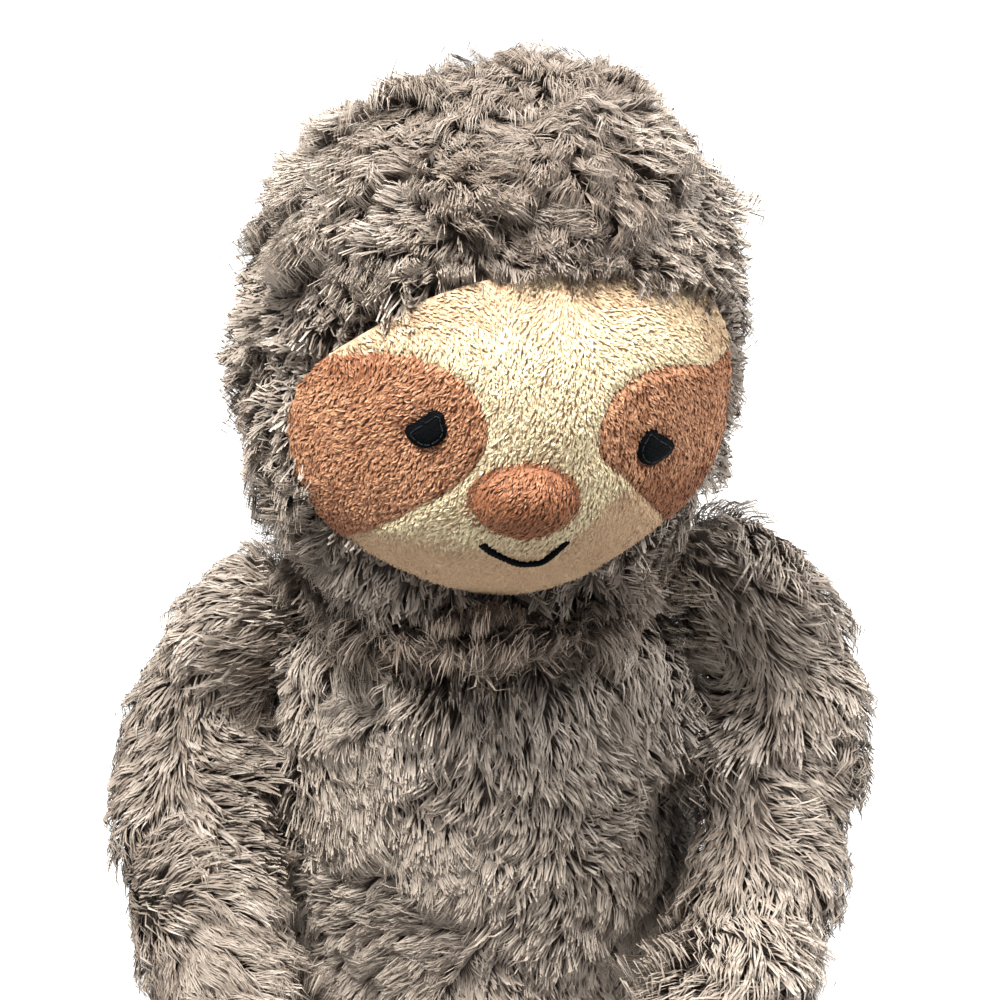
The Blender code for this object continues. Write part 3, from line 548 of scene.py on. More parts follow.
# Brush strokes seen in the photograph: where, in the picture, and which way the
# fibres lie there, to the right and down.
STROKES = (
    (285, 203, -1.0, 0.15), (404, 117, 0.5, 0.5), (437, 160, -0.8, 0.5), (393, 258, -0.7, 0.6),
    (285, 312, -0.6, 0.6), (328, 323, -0.7, 0.8), (250, 250, -1.0, 0.3), (240, 330, -0.9, 0.5),
    (250, 420, -0.4, 1.0), (262, 500, -0.2, 1.0), (545, 279, 0.0, 1.0), (470, 275, -0.1, 1.0),
    (620, 275, 0.1, 1.0), (540, 60, 0.2, -0.6), (600, 70, 0.4, -0.4), (480, 90, -0.3, 0.3),
    (520, 160, 0.3, 0.6), (600, 170, 0.5, 0.4), (660, 200, 0.6, 0.5), (700, 160, 0.9, 0.2),
    (730, 230, 1.0, 0.3), (745, 300, 1.0, 0.4), (690, 280, 0.7, 0.8), (742, 380, 0.5, 1.0),
    (735, 440, 0.2, 1.0), (340, 150, -0.9, 0.2), (330, 250, -0.6, 0.7), (560, 220, 0.1, 0.9),
    (640, 250, 0.3, 0.9), (440, 220, -0.4, 0.8), (500, 230, -0.1, 1.0),
    (390, 741, 0.05, 1.0), (368, 773, -0.4, 0.8), (412, 795, -0.8, 0.5), (433, 903, -0.7, 0.6),
    (340, 700, -0.3, 1.0), (310, 760, -0.6, 0.8), (300, 850, -0.3, 1.0), (350, 860, -0.6, 0.7),
    (605, 755, 0.9, 0.4), (616, 809, 0.8, 0.5), (583, 831, 0.7, 0.7), (560, 770, 0.6, 0.7),
    (520, 760, 0.2, 1.0), (500, 850, -0.3, 1.0), (530, 920, -0.5, 0.9), (640, 780, 0.8, 0.6),
    (605, 625, -0.2, 1.0), (520, 620, 0.0, 1.0), (430, 620, 0.1, 1.0), (340, 590, -0.2, 1.0),
    (600, 690, 0.2, 1.0), (520, 690, 0.1, 1.0), (440, 680, -0.1, 1.0), (660, 880, 0.3, 1.0),
    (228, 763, 1.0, 0.15), (195, 806, 1.0, 0.1), (162, 871, 0.9, -0.4), (260, 871, 0.9, -0.3),
    (152, 676, -0.9, 0.3), (227, 661, -0.6, 0.8), (200, 620, -0.7, 0.6), (180, 720, -0.3, 0.9),
    (200, 934, 0.7, 0.7), (150, 950, -0.6, 0.8), (250, 940, 0.9, 0.4), (140, 780, -0.8, 0.6),
    (800, 640, 0.8, 0.1), (757, 690, -0.5, 0.8), (718, 681, -0.3, -0.9), (789, 733, 0.4, 0.9),
    (865, 679, 0.8, 0.6), (735, 744, -0.4, 0.9), (713, 798, 0.5, 0.8), (778, 842, 0.9, 0.3),
    (746, 890, 0.1, 1.0), (843, 863, 0.6, 0.8), (811, 582, 0.7, 0.6), (760, 560, 0.4, 0.8),
    (840, 760, 0.6, 0.8), (720, 850, -0.7, 0.5), (800, 940, 0.6, 0.8), (740, 620, -0.3, 0.9),
)
STROKE_REACH = 0.013
# The way that the pile lies where the photograph doesn't show it
RUNS = {
    "torso": ((0.0, 0.0, 0.21), (0.0, 0.0, 0.0)),
    "head": ((0.0, 0.03, 0.385), (0.0, 0.03, 0.2)),
    "neck": ((0.0, 0.03, 0.235), (0.0, -0.08, 0.17)),
}
for side, sign in (("left", -1), ("right", 1)):
    RUNS[f"arm_{side}"] = ((sign * 0.050, 0.004, 0.21), (sign * 0.095, 0.0, 0.19),
                           (sign * 0.098, -0.034, 0.114), (sign * 0.052, -0.128, 0.084))
    RUNS[f"leg_{side}"] = ((sign * 0.045, -0.05, 0.027), (sign * 0.060, -0.205, 0.027))

RUN_SHARE = 0.25


def surface(mesh):
    """The mesh's faces, for finding the nearest place on them."""
    return BVHTree.FromPolygons([v.co for v in mesh.vertices], [tuple(p.vertices) for p in mesh.polygons])


def pixel_ray(across, down):
    """The direction, in the camera's own axes, of a pixel of the photograph."""
    return Vector(((across / PHOTO_SIZE - 0.5) * SENSOR / LENS, (0.5 - down / PHOTO_SIZE) * SENSOR / LENS, -1.0))


trees = {body: surface(form.data) for body, form in forms.items()}
look = camera.rotation_euler.to_matrix()
brushed = {body: [] for body in forms}
for across, down, right_way, down_way in STROKES:
    ray = look @ pixel_ray(across, down)
    hits = [(body, *tree.ray_cast(Vector(CAMERA_PLACE), ray)) for body, tree in trees.items()]
    hits = [hit for hit in hits if hit[1] is not None]
    if hits:
        body, place, normal, _, _ = min(hits, key=lambda hit: hit[4])
        brushed[body].append((place, look @ Vector((right_way, -down_way, 0.0)).normalized()))


def run_direction(places, run):
    """The direction of the nearest stretch of the run, for each place."""
    best, way = np.full(len(places), 1e9), np.zeros((len(places), 3))
    for start, end in zip(run, run[1:]):
        start, end = np.array(start), np.array(end)
        step = end - start
        share = np.clip((places - start) @ step / (step @ step), 0, 1)
        far = np.linalg.norm(places - start - share[:, None] * step, axis=1)
        nearer = far < best
        best[nearer] = far[nearer]
        way[nearer] = step / np.linalg.norm(step)
    return way


def vertex_values(mesh, title="co"):
    """The places of a mesh's corners, or their normals."""
    values = np.zeros(len(mesh.vertices) * 3)
    mesh.vertices.foreach_get(title, values)
    return values.reshape(-1, 3)


def groom(mesh, body, thick, reach=1.0, rise=1.0, tone_and_painted_light=0.0, broad=1.0):
    """Writes on a backing how its pile is brushed, how thick and long it is, and its tone with any painted light and
    shade.
    """
    places = vertex_values(mesh)
    way = run_direction(places, RUNS[body]) * RUN_SHARE
    for at, stroke in brushed[body]:
        near = np.exp(-((places - np.array(at)) ** 2).sum(1) / STROKE_REACH ** 2)
        way += near[:, None] * np.array(stroke)
    fields = [("up", "FLOAT_VECTOR", "vector", vertex_values(mesh, "normal")),
              ("comb", "FLOAT_VECTOR", "vector", way)]
    shares = {"thick": thick, "reach": reach, "rise": rise, "tone_and_painted_light": tone_and_painted_light, "broad": broad}
    fields += [(title, "FLOAT", "value", np.broadcast_to(share, len(places))) for title, share in shares.items()]
    for title, kind, key, values in fields:
        made = mesh.attributes.new(title, kind, "POINT")
        made.data.foreach_set(key, np.ascontiguousarray(values, dtype=np.float32).ravel())


def shared_out(form, panels, depth):
    """For each face of a stuffed form, which panel's cloth it is."""
    nearest = {panel: surface(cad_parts[panel].data) for panel in panels}
    owner = []
    for face in form.data.polygons:
        place = face.center + face.normal * depth
        owner.append(min(panels, key=lambda panel: nearest[panel].find_nearest(place)[3]))
    return owner


def panel_backing(name, form, faces):
    """The part of a stuffed form that belongs to one panel, as its own mesh."""
    bm = bmesh.new()
    bm.from_mesh(form.data)
    bm.faces.ensure_lookup_table()
    keep = set(faces)
    bmesh.ops.delete(bm, geom=[f for f in bm.faces if f.index not in keep], context="FACES")
    mesh = bpy.data.meshes.new(name)
    bm.to_mesh(mesh)
    bm.free()
    return linked(name, mesh)


# The opening for the face: its outline as seen from straight in front of it, in
# shares of half its width and half its height, in the head's own axes.
HEAD_CENTRE = (0.004, 0.0, 0.290)
HEAD_ROLL, HEAD_TURN = math.radians(7.0), math.radians(9.0)
OPENING_HALF_WIDTH, OPENING_HALF_HEIGHT, OPENING_CENTRE_Z = 0.064, 0.048, -0.008
OPENING_SHARES = (
    (-0.17, 0.93), (0.15, 0.99), (0.45, 0.97), (0.74, 0.83), (0.90, 0.56),
    (0.98, 0.24), (1.00, -0.08), (0.90, -0.31), (0.69, -0.46), (0.50, -0.62),
    (0.28, -0.84), (0.06, -0.99), (-0.17, -0.97), (-0.46, -0.84), (-0.74, -0.69),
    (-0.87, -0.48), (-0.94, -0.22), (-0.93, 0.03), (-0.87, 0.24), (-0.74, 0.47),
    (-0.48, 0.76),
)
head_axes = Matrix.Translation(HEAD_CENTRE) @ Euler((0.0, HEAD_ROLL, HEAD_TURN)).to_matrix().to_4x4()


def between(before, start, end, after, t):
    """A place on the smooth line from start to end, which also heeds its neighbours."""
    return 0.5 * (2 * start + (end - before) * t + (2 * before - 5 * start + 4 * end - after) * t ** 2
                  + (3 * start - before - 3 * end + after) * t ** 3)


def smooth_loop(points, steps):
    """A closed smooth line through the points, in steps between each two."""
    points = np.array(points, float)
    before, end, after = np.roll(points, 1, 0), np.roll(points, -1, 0), np.roll(points, -2, 0)
    found = [between(before, points, end, after, k / steps) for k in range(steps)]
    return np.stack(found, 1).reshape(-1, 2)


def seam_line(shares):
    """A closed seam of the face, from shares of the opening's half width and half height."""
    return smooth_loop([(x * OPENING_HALF_WIDTH, OPENING_CENTRE_Z + z * OPENING_HALF_HEIGHT) for x, z in shares], 4)


def inside_by(places, loop):
    """How far each place is inside a closed line; below nought is outside."""
    ends = np.roll(loop, -1, 0)
    step = ends - loop
    out = places[:, None] - loop[None]
    share = np.clip((out * step).sum(2) / (step ** 2).sum(1), 0, 1)
    far = np.linalg.norm(out - share[..., None] * step, axis=2).min(1)
    above = (loop[:, 1] > places[:, 1:]) != (ends[:, 1] > places[:, 1:])
    with np.errstate(divide="ignore", invalid="ignore"):
        meets = step[:, 0] * (places[:, 1:] - loop[:, 1]) / step[:, 1] + loop[:, 0]
    within = ((places[:, :1] < meets) & above).sum(1) % 2 == 1
    return np.where(within, far, -far)


def head_places(places):
    """Places in the head's own axes."""
    turned = np.array(head_axes.inverted())
    return places @ turned[:3, :3].T + turned[:3, 3]


opening = seam_line(OPENING_SHARES)

# The first colour is the roots', darker as painted shade deep in the pile
fur_fibre = fibre("long_pile_fibre", (0.105, 0.079, 0.062), (0.215, 0.171, 0.138), (0.42, 0.361, 0.308), 0.5, 0.4)
HEAD_PILE = dict(
    Strands_per_square_metre=2.4e6, Strand_width=0.00031, Strand_length=0.0095, Pile_height=0.0085,
    Lock_size=0.0046, Patch_size=0.019, Lock_turn=0.6, Patch_turn=1.3, Strand_turn=0.35, Curl=0.0032,
    Strand_curl=0.0012, Tip_curl=0.5, Lock_pull=0.8, Layering=1.25, Roll=0.6, Pelt_shading=0.85)
BODY_PILE = dict(
    HEAD_PILE, Strands_per_square_metre=2.3e6, Strand_width=0.00032, Strand_length=0.0118,
    Pile_height=0.0055, Lock_size=0.0038, Patch_size=0.028, Lock_turn=0.34, Patch_turn=0.8,
    Strand_turn=0.18, Curl=0.0022, Strand_curl=0.0008, Tip_curl=0.45, Layering=1.1)
# The fur panels of each body
DRESSED = {body: [panel for panel in panels if panel != "face_panel" and panel.endswith(("_panel", "_collar"))]
           for body, (_, panels) in STUFFED.items()}
OPENING_MARGIN, EDGE_FADE = 0.001, 0.002
# Pile that the photograph's camera can't see, or that another part lies on, has fewer
# and broader strands
AWAY_FROM_CAMERA, TOWARDS_CAMERA = -0.45, 0.0
FAR_SHARE, FAR_BROAD = 0.36, 1.8
COVERED_SHARE, COVERED_GAP = 0.3, 0.0015
FOLD_SIZE, FOLD_DEPTH = 0.030, 0.45
SPLIT_HEIGHT = {"body_front_panel": 0.078, "body_back_panel": 0.105}
FIRST_SEED = 11


def smooth_share(values, low, high):
    share = np.clip((values - low) / (high - low), 0, 1)
    return share * share * (3 - 2 * share)


def covered(places, ups, body):
    """True where another part of the toy lies on this backing's pile."""
    found = np.zeros(len(places))
    others = [tree for other, tree in trees.items() if other != body]
    for i, (place, up) in enumerate(zip(places, ups)):
        tip = Vector(place + up * PILE_DEPTH)
        for tree in others:
            at, normal, _, far = tree.find_nearest(tip)
            if (tip - at).dot(normal) < COVERED_GAP:
                found[i] = 1
    return found


def carried(piece, body):
    """The neck's pieces stay fixed where they are, with their places baked in; others ride their body."""
    if body == "neck":
        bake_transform(piece)
    else:
        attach(piece, body)


def pile_shape(body, places, ups, folds):
    """For each place of a backing: how thick, long and high its pile is, and its tone with painted light and shade.
    """
    thick, reach, rise = np.ones(len(places)), np.ones(len(places)), 1 + FOLD_DEPTH * folds
    front = smooth_share(-places[:, 1], -0.01, 0.03)
    # Painted light and shade: the torso and the right arm lighter, and the neck darker at its front, as painted
    # shadow under the chin
    tone_and_painted_light = {"torso": 0.4, "neck": 0.1 - 0.6 * front, "arm_right": 0.15}.get(body, 0.0)
    if body == "head":
        # Bare inside the face's opening, short at its edge, low on the crown, long at the throat
        local = head_places(places)
        across, up, before = local[:, 0], local[:, 2], local[:, 1] < 0
        into = inside_by(local[:, [0, 2]], opening)
        thick = 1 - np.clip((into - OPENING_MARGIN) / EDGE_FADE, 0, 1) * before
        throat = smooth_share(-up, 0.045, 0.075)
        fringe = smooth_share(into, -0.016, -0.002) * before
        rise = rise * (1 - 0.3 * smooth_share(up, 0.04, 0.08)) * (1 + 0.2 * throat) * (1 - 0.3 * fringe)
        reach = (1 + 0.4 * throat) * (1 - 0.42 * fringe)
        # Painted light and shade: the upper head lighter at its sides and darker in the middle of the crown
        tone_and_painted_light = (0.3 - 0.75 * np.exp(-(across / 0.045) ** 2)) * smooth_share(up, 0.01, 0.05)
    if body == "neck":
        rise, reach = rise * (1.0 + 0.9 * front), 1.0 + 0.2 * front
    if body == "torso":
        # Higher at the sides and shoulders, low under the seat
        for gain, share in ((0.9, smooth_share(np.abs(ups[:, 0]), 0.6, 0.95)),
                            (-0.6, smooth_share(-ups[:, 2], 0.6, 0.9)),
                            (0.5, smooth_share(places[:, 2], 0.18, 0.2))):
            rise = rise * (1 + gain * share)
    if body.startswith("arm"):
        inward = -ups[:, 0] * (1 if body.endswith("right") else -1)
        rise = rise * (1 + 0.9 * smooth_share(inward, 0.5, 0.9))
    if body == "arm_right":
        rise = rise * (1 + 0.25 * smooth_share(ups[:, 2], 0.3, 0.8)) * (1 + 0.15 * smooth_share(ups[:, 0], 0.4, 0.9))
    return thick, reach, rise, tone_and_painted_light


seeds = itertools.count(FIRST_SEED)
for body, panels in DRESSED.items():
    owner = shared_out(forms[body], panels, PILE_DEPTH)
    pieces = []
    for panel in panels:
        faces = [i for i, name in enumerate(owner) if name == panel]
        if panel in SPLIT_HEIGHT:
            high = {i for i in faces if forms[body].data.polygons[i].center.z > SPLIT_HEIGHT[panel]}
            pieces.append((panel, f"{panel}_pile_low", [i for i in faces if i not in high]))
            faces = [i for i in faces if i in high]
        pieces.append((panel, f"{panel}_pile", faces))
    for panel, pile_name, faces in pieces:
        backing_obj = panel_backing(f"{pile_name}_backing", forms[body], faces)
        places, ups = vertex_values(backing_obj.data), vertex_values(backing_obj.data, "normal")
        to_camera = np.array(CAMERA_PLACE) - places
        to_camera /= np.linalg.norm(to_camera, axis=1)[:, None]
        near = smooth_share((ups * to_camera).sum(1), AWAY_FROM_CAMERA, TOWARDS_CAMERA)
        hidden = covered(places, ups, body)
        folds = np.array([noise.noise(Vector(place) / FOLD_SIZE) for place in places])
        thick, reach, rise, tone_and_painted_light = pile_shape(body, places, ups, folds)
        thick = (FAR_SHARE + (1 - FAR_SHARE) * near) * (1 - (1 - COVERED_SHARE) * hidden) * thick
        broad = 1 + (FAR_BROAD - 1) * np.maximum(1 - near, hidden)
        groom(backing_obj.data, body, thick, reach, rise, tone_and_painted_light, broad)
        sizes = HEAD_PILE if body == "head" else BODY_PILE
        pile = grown_pile(pile_name, backing_obj, fur_fibre, next(seeds), **sizes)
        bpy.data.objects.remove(backing_obj)
        if pile_name == f"{panel}_pile":
            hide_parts(panel)
        carried(pile, body)

for body, (name, panels) in STUFFED.items():
    carried(forms[body], body)
    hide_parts(next(p for p in panels if p.endswith("filling")))

# Face
# A panel of cream short-nap fabric, stuffed from behind so that it bulges out of
# the opening. Two patches and the nose of the same nap in brown are sewn on it.
FACE_CENTRE_Z, FACE_HALF_WIDTH, FACE_HALF_HEIGHT = -0.008, 0.076, 0.068
FACE_FRONT, FACE_SQUARENESS = 0.080, 2.4
NAP_DEPTH = 0.0012
TUCK = 0.004
CLOTH_SPACING, CLOTH_THICKNESS = 0.0016, 0.001
HALVINGS = 40
SEAM_DIP, SEAM_REACH = 0.0007, 0.0012
LEFT_PATCH_SHARES = (
    (-1.16, 0.20), (-0.96, 0.32), (-0.80, 0.45), (-0.62, 0.54), (-0.44, 0.54),
    (-0.31, 0.46), (-0.23, 0.31), (-0.21, 0.14), (-0.25, -0.03), (-0.345, -0.20),
    (-0.515, -0.43), (-0.70, -0.74), (-0.87, -0.96), (-1.16, -0.60),
)
RIGHT_PATCH_SHARES = (
    (1.16, 0.42), (0.84, 0.47), (0.68, 0.54), (0.48, 0.555), (0.34, 0.46),
    (0.28, 0.31), (0.28, 0.19), (0.31, 0.06), (0.42, -0.06), (0.56, -0.25),
    (0.69, -0.43), (0.82, -0.62), (1.16, -0.40),
)


def face_depth(x, z):
    """How far in front of the head's middle the face's backing is."""
    up = np.clip(np.abs(z - FACE_CENTRE_Z) / (FACE_HALF_HEIGHT - NAP_DEPTH), 0, 0.999)
    girth = (1 - up ** FACE_SQUARENESS) ** (1 / FACE_SQUARENESS)
    across = np.clip(np.abs(x) / (girth * (FACE_HALF_WIDTH - NAP_DEPTH)), 0, 0.995)
    return girth * (FACE_FRONT - NAP_DEPTH) * np.sqrt(1 - across ** 2)


def grown_loop(loop, margin):
    """A closed line moved outward by a margin."""
    ahead, behind = np.roll(loop, -1, 0), np.roll(loop, 1, 0)
    run = ahead - behind
    out = np.stack([-run[:, 1], run[:, 0]], 1)
    out /= np.linalg.norm(out, axis=1)[:, None]
    if ((loop + out * 1e-4 - loop.mean(0)) ** 2).sum() < ((loop - loop.mean(0)) ** 2).sum():
        out = -out
    return loop + out * margin


def face_spot(across, down):
    """The head's own x and z of the face's cloth that the photograph shows at a pixel."""
    into_head = head_axes.inverted()
    start = into_head @ Vector(CAMERA_PLACE)
    way = into_head.to_3x3() @ look @ pixel_ray(across, down)
    near, far = 0.0, -start.y / way.y
    for _ in range(HALVINGS):
        middle = (near + far) / 2
        spot = start + way * middle
        if -spot.y > face_depth(spot.x, spot.z):
            near = middle
        else:
            far = middle
    return spot.x, spot.z


def above_face(x, z, height=0.0):
    return head_axes @ Vector((x, -face_depth(x, z) - height, z))


# The embroidery's outlines, in pixels of the photograph
EYE_OUTLINES = {
    "left": ((405.8, 431), (409.3, 425.9), (415.7, 422.1), (424.6, 416.4), (431, 411.9), (435.5, 410.6),
             (440, 412.5), (443.1, 415.7), (443.8, 421.5), (446, 429.7), (444.4, 436.1), (439.3, 441.9),
             (431, 446.3), (424, 446.6), (417, 444.4), (410.6, 439.3), (407.4, 435.5)),
    "right": ((638.3, 450.4), (639.9, 443.4), (644.6, 435.7), (649.1, 429.7), (654.2, 430), (659.3, 434.4),
              (666.3, 438.3), (672.1, 442.7), (672.7, 447.2), (669.5, 452.9), (662.5, 458.7), (654.2, 463.1),
              (647.2, 464.1), (641.5, 460.6), (638.9, 455.5)),
}
MOUTH_LINE = ((481.9, 543.9), (490.6, 551), (502.9, 557.1), (517.1, 562.8), (529.4, 563.3), (540.6, 561.7),
              (549.8, 556.1), (560, 546.9), (568.2, 540.3))
# Below this line the chin is shorn short and smooth, and its nap is darker as painted shade
CHIN_LINE = ((385, 536), (430, 545), (470, 553), (560, 553), (592, 525), (612, 496), (640, 488))
EYE_NAP_GAP = 0.0007
PUCKER_DIP, PUCKER_REACH = 0.0006, 0.0016
eye_loops = {side: smooth_loop([face_spot(*pixel) for pixel in outline], 1)
             for side, outline in EYE_OUTLINES.items()}
mouth_spots = np.array([face_spot(*pixel) for pixel in MOUTH_LINE])
chin_spots = np.array([face_spot(*pixel) for pixel in CHIN_LINE])
patches = {"left": seam_line(LEFT_PATCH_SHARES), "right": seam_line(RIGHT_PATCH_SHARES)}
tucked = grown_loop(opening, TUCK)
low_corner, high_corner = tucked.min(0), tucked.max(0)
grid = [(x, z) for row, z in enumerate(np.arange(low_corner[1], high_corner[1], CLOTH_SPACING))
        for x in np.arange(low_corner[0] + (row % 2) * CLOTH_SPACING / 2, high_corner[0], CLOTH_SPACING)]
grid = np.array(grid)
clear = inside_by(grid, tucked) > CLOTH_SPACING / 2
eye_rings = [grown_loop(loop, margin) for loop in eye_loops.values() for margin in (0.0, -EYE_NAP_GAP)]
for loop in (*patches.values(), *eye_rings):
    clear &= np.abs(inside_by(grid, loop)) > CLOTH_SPACING / 2
points = [Vector(p) for p in grid[clear]]
edges = []
for loop in (tucked, *patches.values(), *eye_rings):
    first = len(points)
    points += [Vector(p) for p in loop]
    edges += [(first + i, first + (i + 1) % len(loop)) for i in range(len(loop))]
flat_points, _, flat_faces, _, _, _ = delaunay_2d_cdt(points, edges, [], 0, 1e-7)
flat = np.array([tuple(p) for p in flat_points])
middles = np.array([flat[list(face)].mean(0) for face in flat_faces])
in_cloth = inside_by(middles, tucked) > 0
in_patch = {side: in_cloth & (inside_by(middles, loop) > 0) for side, loop in patches.items()}
depth = face_depth(flat[:, 0], flat[:, 1])
for loop in patches.values():
    depth -= SEAM_DIP * np.exp(-(inside_by(flat, loop) / SEAM_REACH) ** 2)
for loop in eye_loops.values():
    depth -= PUCKER_DIP * np.exp(-(inside_by(flat, loop) / PUCKER_REACH) ** 2)
face_points = np.array([tuple(head_axes @ Vector((x, -y, z))) for (x, z), y in zip(flat, depth)])


def turned_out(mesh):
    """A piece of the face's cloth, with its faces towards the front."""
    out = head_axes.to_3x3() @ Vector((0.0, -1.0, 0.0))
    if sum(p.normal.dot(out) for p in mesh.polygons) < 0:
        mesh.flip_normals()
    mesh.shade_smooth()
    return linked(mesh.name, mesh)


def cloth_region(name, chosen):
    """A sewn region of the face as its own mesh."""
    used = sorted({i for face, keep in zip(flat_faces, chosen) if keep for i in face})
    new = {old: i for i, old in enumerate(used)}
    faces = [[new[i] for i in face] for face, keep in zip(flat_faces, chosen) if keep]
    mesh = bpy.data.meshes.new(name)
    mesh.from_pydata([tuple(face_points[i]) for i in used], [], faces)
    return turned_out(mesh)


between_patches = in_cloth & ~in_patch["left"] & ~in_patch["right"]
face_regions = {"face_panel": (cloth_region("face_cloth", between_patches), "cream")}
for side in ("left", "right"):
    face_regions[f"eye_patch_{side}"] = (cloth_region(f"eye_patch_{side}_cloth", in_patch[side]), "brown")


FACE_STROKES = (
    (310, 380, -0.93, 0.36), (340, 420, -0.9, 0.42), (330, 480, -0.8, 0.6), (400, 395, -0.85, 0.5),
    (400, 470, -0.7, 0.7), (440, 380, -0.75, 0.65), (470, 420, -0.5, 0.85), (440, 480, -0.6, 0.8),
    (370, 520, -0.6, 0.8), (360, 345, 0.95, 0.2), (430, 310, 0.95, 0.3), (480, 330, 0.85, 0.5),
    (500, 400, 0.5, 0.85), (510, 450, -0.4, 0.9), (470, 490, -0.6, 0.8), (450, 520, -0.5, 0.85),
    (540, 323, -0.7, 0.5), (597, 323, 0.95, 0.1), (658, 330, 0.95, 0.25), (555, 369, -0.7, 0.7),
    (612, 376, 0.8, 0.5), (543, 407, -0.6, 0.8), (581, 407, 0.5, 0.85), (543, 453, -0.6, 0.8),
    (700, 360, 0.95, 0.3), (640, 400, 0.6, 0.8), (690, 420, 0.8, 0.6), (650, 480, -0.5, 0.85),
    (700, 480, 0.3, 0.95), (600, 480, 0.5, 0.85), (600, 520, 0.1, 1.0), (530, 575, 0.0, 1.0),
    (430, 560, -0.2, 1.0), (620, 560, 0.2, 1.0), (500, 500, -0.8, 0.5), (550, 510, -0.7, 0.6),
)
brushed["face"] = [(above_face(*face_spot(x, y)), look @ Vector((right, -down, 0.0)).normalized())
                   for x, y, right, down in FACE_STROKES]
RUNS["face"] = ((0.0, -0.08, 0.35), (0.0, -0.08, 0.22))
# The first colours are the roots', standing for the shade deep in the nap (painted shade)
nap_fibres = {
    "cream": fibre("cream_nap_fibre", (0.66, 0.50, 0.33), (0.56, 0.38, 0.24), (0.83, 0.74, 0.495), 0.6, 0.2),
    "brown": fibre("brown_nap_fibre", (0.18, 0.070, 0.034), (0.325, 0.132, 0.062), (0.69, 0.37, 0.212), 0.5, 0.3),
}
nap_backings = {
    "cream": knit_backing("cream_knit", (0.54, 0.37, 0.235), (0.64, 0.46, 0.30)),
    "brown": knit_backing("brown_knit", (0.20, 0.085, 0.048), (0.32, 0.145, 0.084)),
}
NAP = dict(
    Strands_per_square_metre=2.6e6, Strand_width=0.00046, Strand_length=0.0026, Pile_height=0.0008,
    Lock_size=0.0011, Patch_size=0.007, Lock_turn=0.35, Patch_turn=0.3, Strand_turn=0.15, Curl=0.0004,
    Strand_curl=0.0002, Tip_curl=0.4, Lock_pull=0.6, Roll=0.7, Pelt_shading=0.94)
MOUTH_GAP, MOUTH_NAP = 0.0010, 0.4
# Round the eyes the nap is thin and short. Below the chin's line it is darker, as painted shade, and it is darker at
# the brow
EYE_THIN, EYE_SHORT, EYE_SHORT_REACH = 0.3, 0.55, 0.003
CHIN_BLEND, BROW_START, BROW_END, BROW_HEIGHT = 0.007, 0.001, 0.011, 0.02


def napped(cloth, node_name, body, dye, sizes=NAP, flat=True):
    """Grows the nap on a cloth, thickens flat cloth, and fixes both to their body."""
    nap = grown_pile(f"{node_name}_nap", cloth, nap_fibres[dye], next(seeds), **sizes)
    cloth.data.materials.clear()
    cloth.data.materials.append(nap_backings[dye])
    if flat:
        wall = cloth.modifiers.new("cloth", "SOLIDIFY")
        wall.thickness, wall.offset = CLOTH_THICKNESS, -1.0
        settled(cloth)
    for piece in (cloth, nap):
        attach(piece, body)
    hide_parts(node_name)


for node_name, (cloth, dye) in face_regions.items():
    spots = head_places(vertex_values(cloth.data))[:, [0, 2]]
    thick, reach = np.ones(len(spots)), np.ones(len(spots))
    for loop in eye_loops.values():
        into = inside_by(spots, loop)
        thick *= 1 - np.clip(into / EYE_NAP_GAP + EYE_THIN, 0, 1)
        reach *= 1 - EYE_SHORT * smooth_share(into, -EYE_SHORT_REACH, 0.0)
    to_mouth = np.linalg.norm(spots[:, None] - mouth_spots[None], axis=2).min(1)
    thick *= np.where(to_mouth < MOUTH_GAP, MOUTH_NAP, 1.0)
    below = np.interp(spots[:, 0], *chin_spots.T) - spots[:, 1]
    chin = smooth_share(below, -CHIN_BLEND, CHIN_BLEND)
    if dye == "brown":
        chin = chin * 0.5
    brow = 1 - smooth_share(inside_by(spots, opening), BROW_START, BROW_END)
    brow = brow * smooth_share(spots[:, 1], 0.0, BROW_HEIGHT)
    # Painted shade on the chin, half as strong on the brown patches; darker at the brow; the cream a little lighter
    # overall
    tone_and_painted_light = 0.25 - 0.9 * chin - 0.5 * brow if dye == "cream" else -chin - 0.45 * brow
    groom(cloth.data, "face", thick, reach * (1 - 0.45 * chin), 1 - 0.5 * chin, tone_and_painted_light, 1 - 0.35 * chin)
    napped(cloth, node_name, "head", dye)

# Nose
# An oval of the brown nap, sewn down with a flat rim and stuffed to a dome.
NOSE_MIDDLE = (-0.0009, -0.0184)
NOSE_HALF_WIDTH, NOSE_HALF_HEIGHT, NOSE_STANDS = 0.0164, 0.0130, 0.0082
NOSE_RIM_SHARE, NOSE_RIM_STANDS, NOSE_GROOVE = 0.88, 0.0006, 0.05
NOSE_RINGS, NOSE_SEGMENTS = 22, 64
rings = []
for ring in range(1, NOSE_RINGS + 1):
    share = ring / NOSE_RINGS
    for k in range(NOSE_SEGMENTS):
        angle = math.tau * k / NOSE_SEGMENTS
        x = NOSE_MIDDLE[0] + NOSE_HALF_WIDTH * share * math.cos(angle)
        z = NOSE_MIDDLE[1] + NOSE_HALF_HEIGHT * share * math.sin(angle)
        dome = max(0.0, 1 - (share / NOSE_RIM_SHARE) ** 2.4) ** 0.7 * NOSE_STANDS
        rim = NOSE_RIM_STANDS * (share > NOSE_RIM_SHARE) * (1 - share) / (1 - NOSE_RIM_SHARE)
        rings.append((x, z, dome + rim))
rings = np.array([(*NOSE_MIDDLE, NOSE_STANDS)] + rings)
y = face_depth(rings[:, 0], rings[:, 1]) + rings[:, 2]
nose_points = [tuple(head_axes @ Vector((x, -d, z))) for (x, z, _), d in zip(rings, y)]
faces = [(0, 1 + k, 1 + (k + 1) % NOSE_SEGMENTS) for k in range(NOSE_SEGMENTS)]
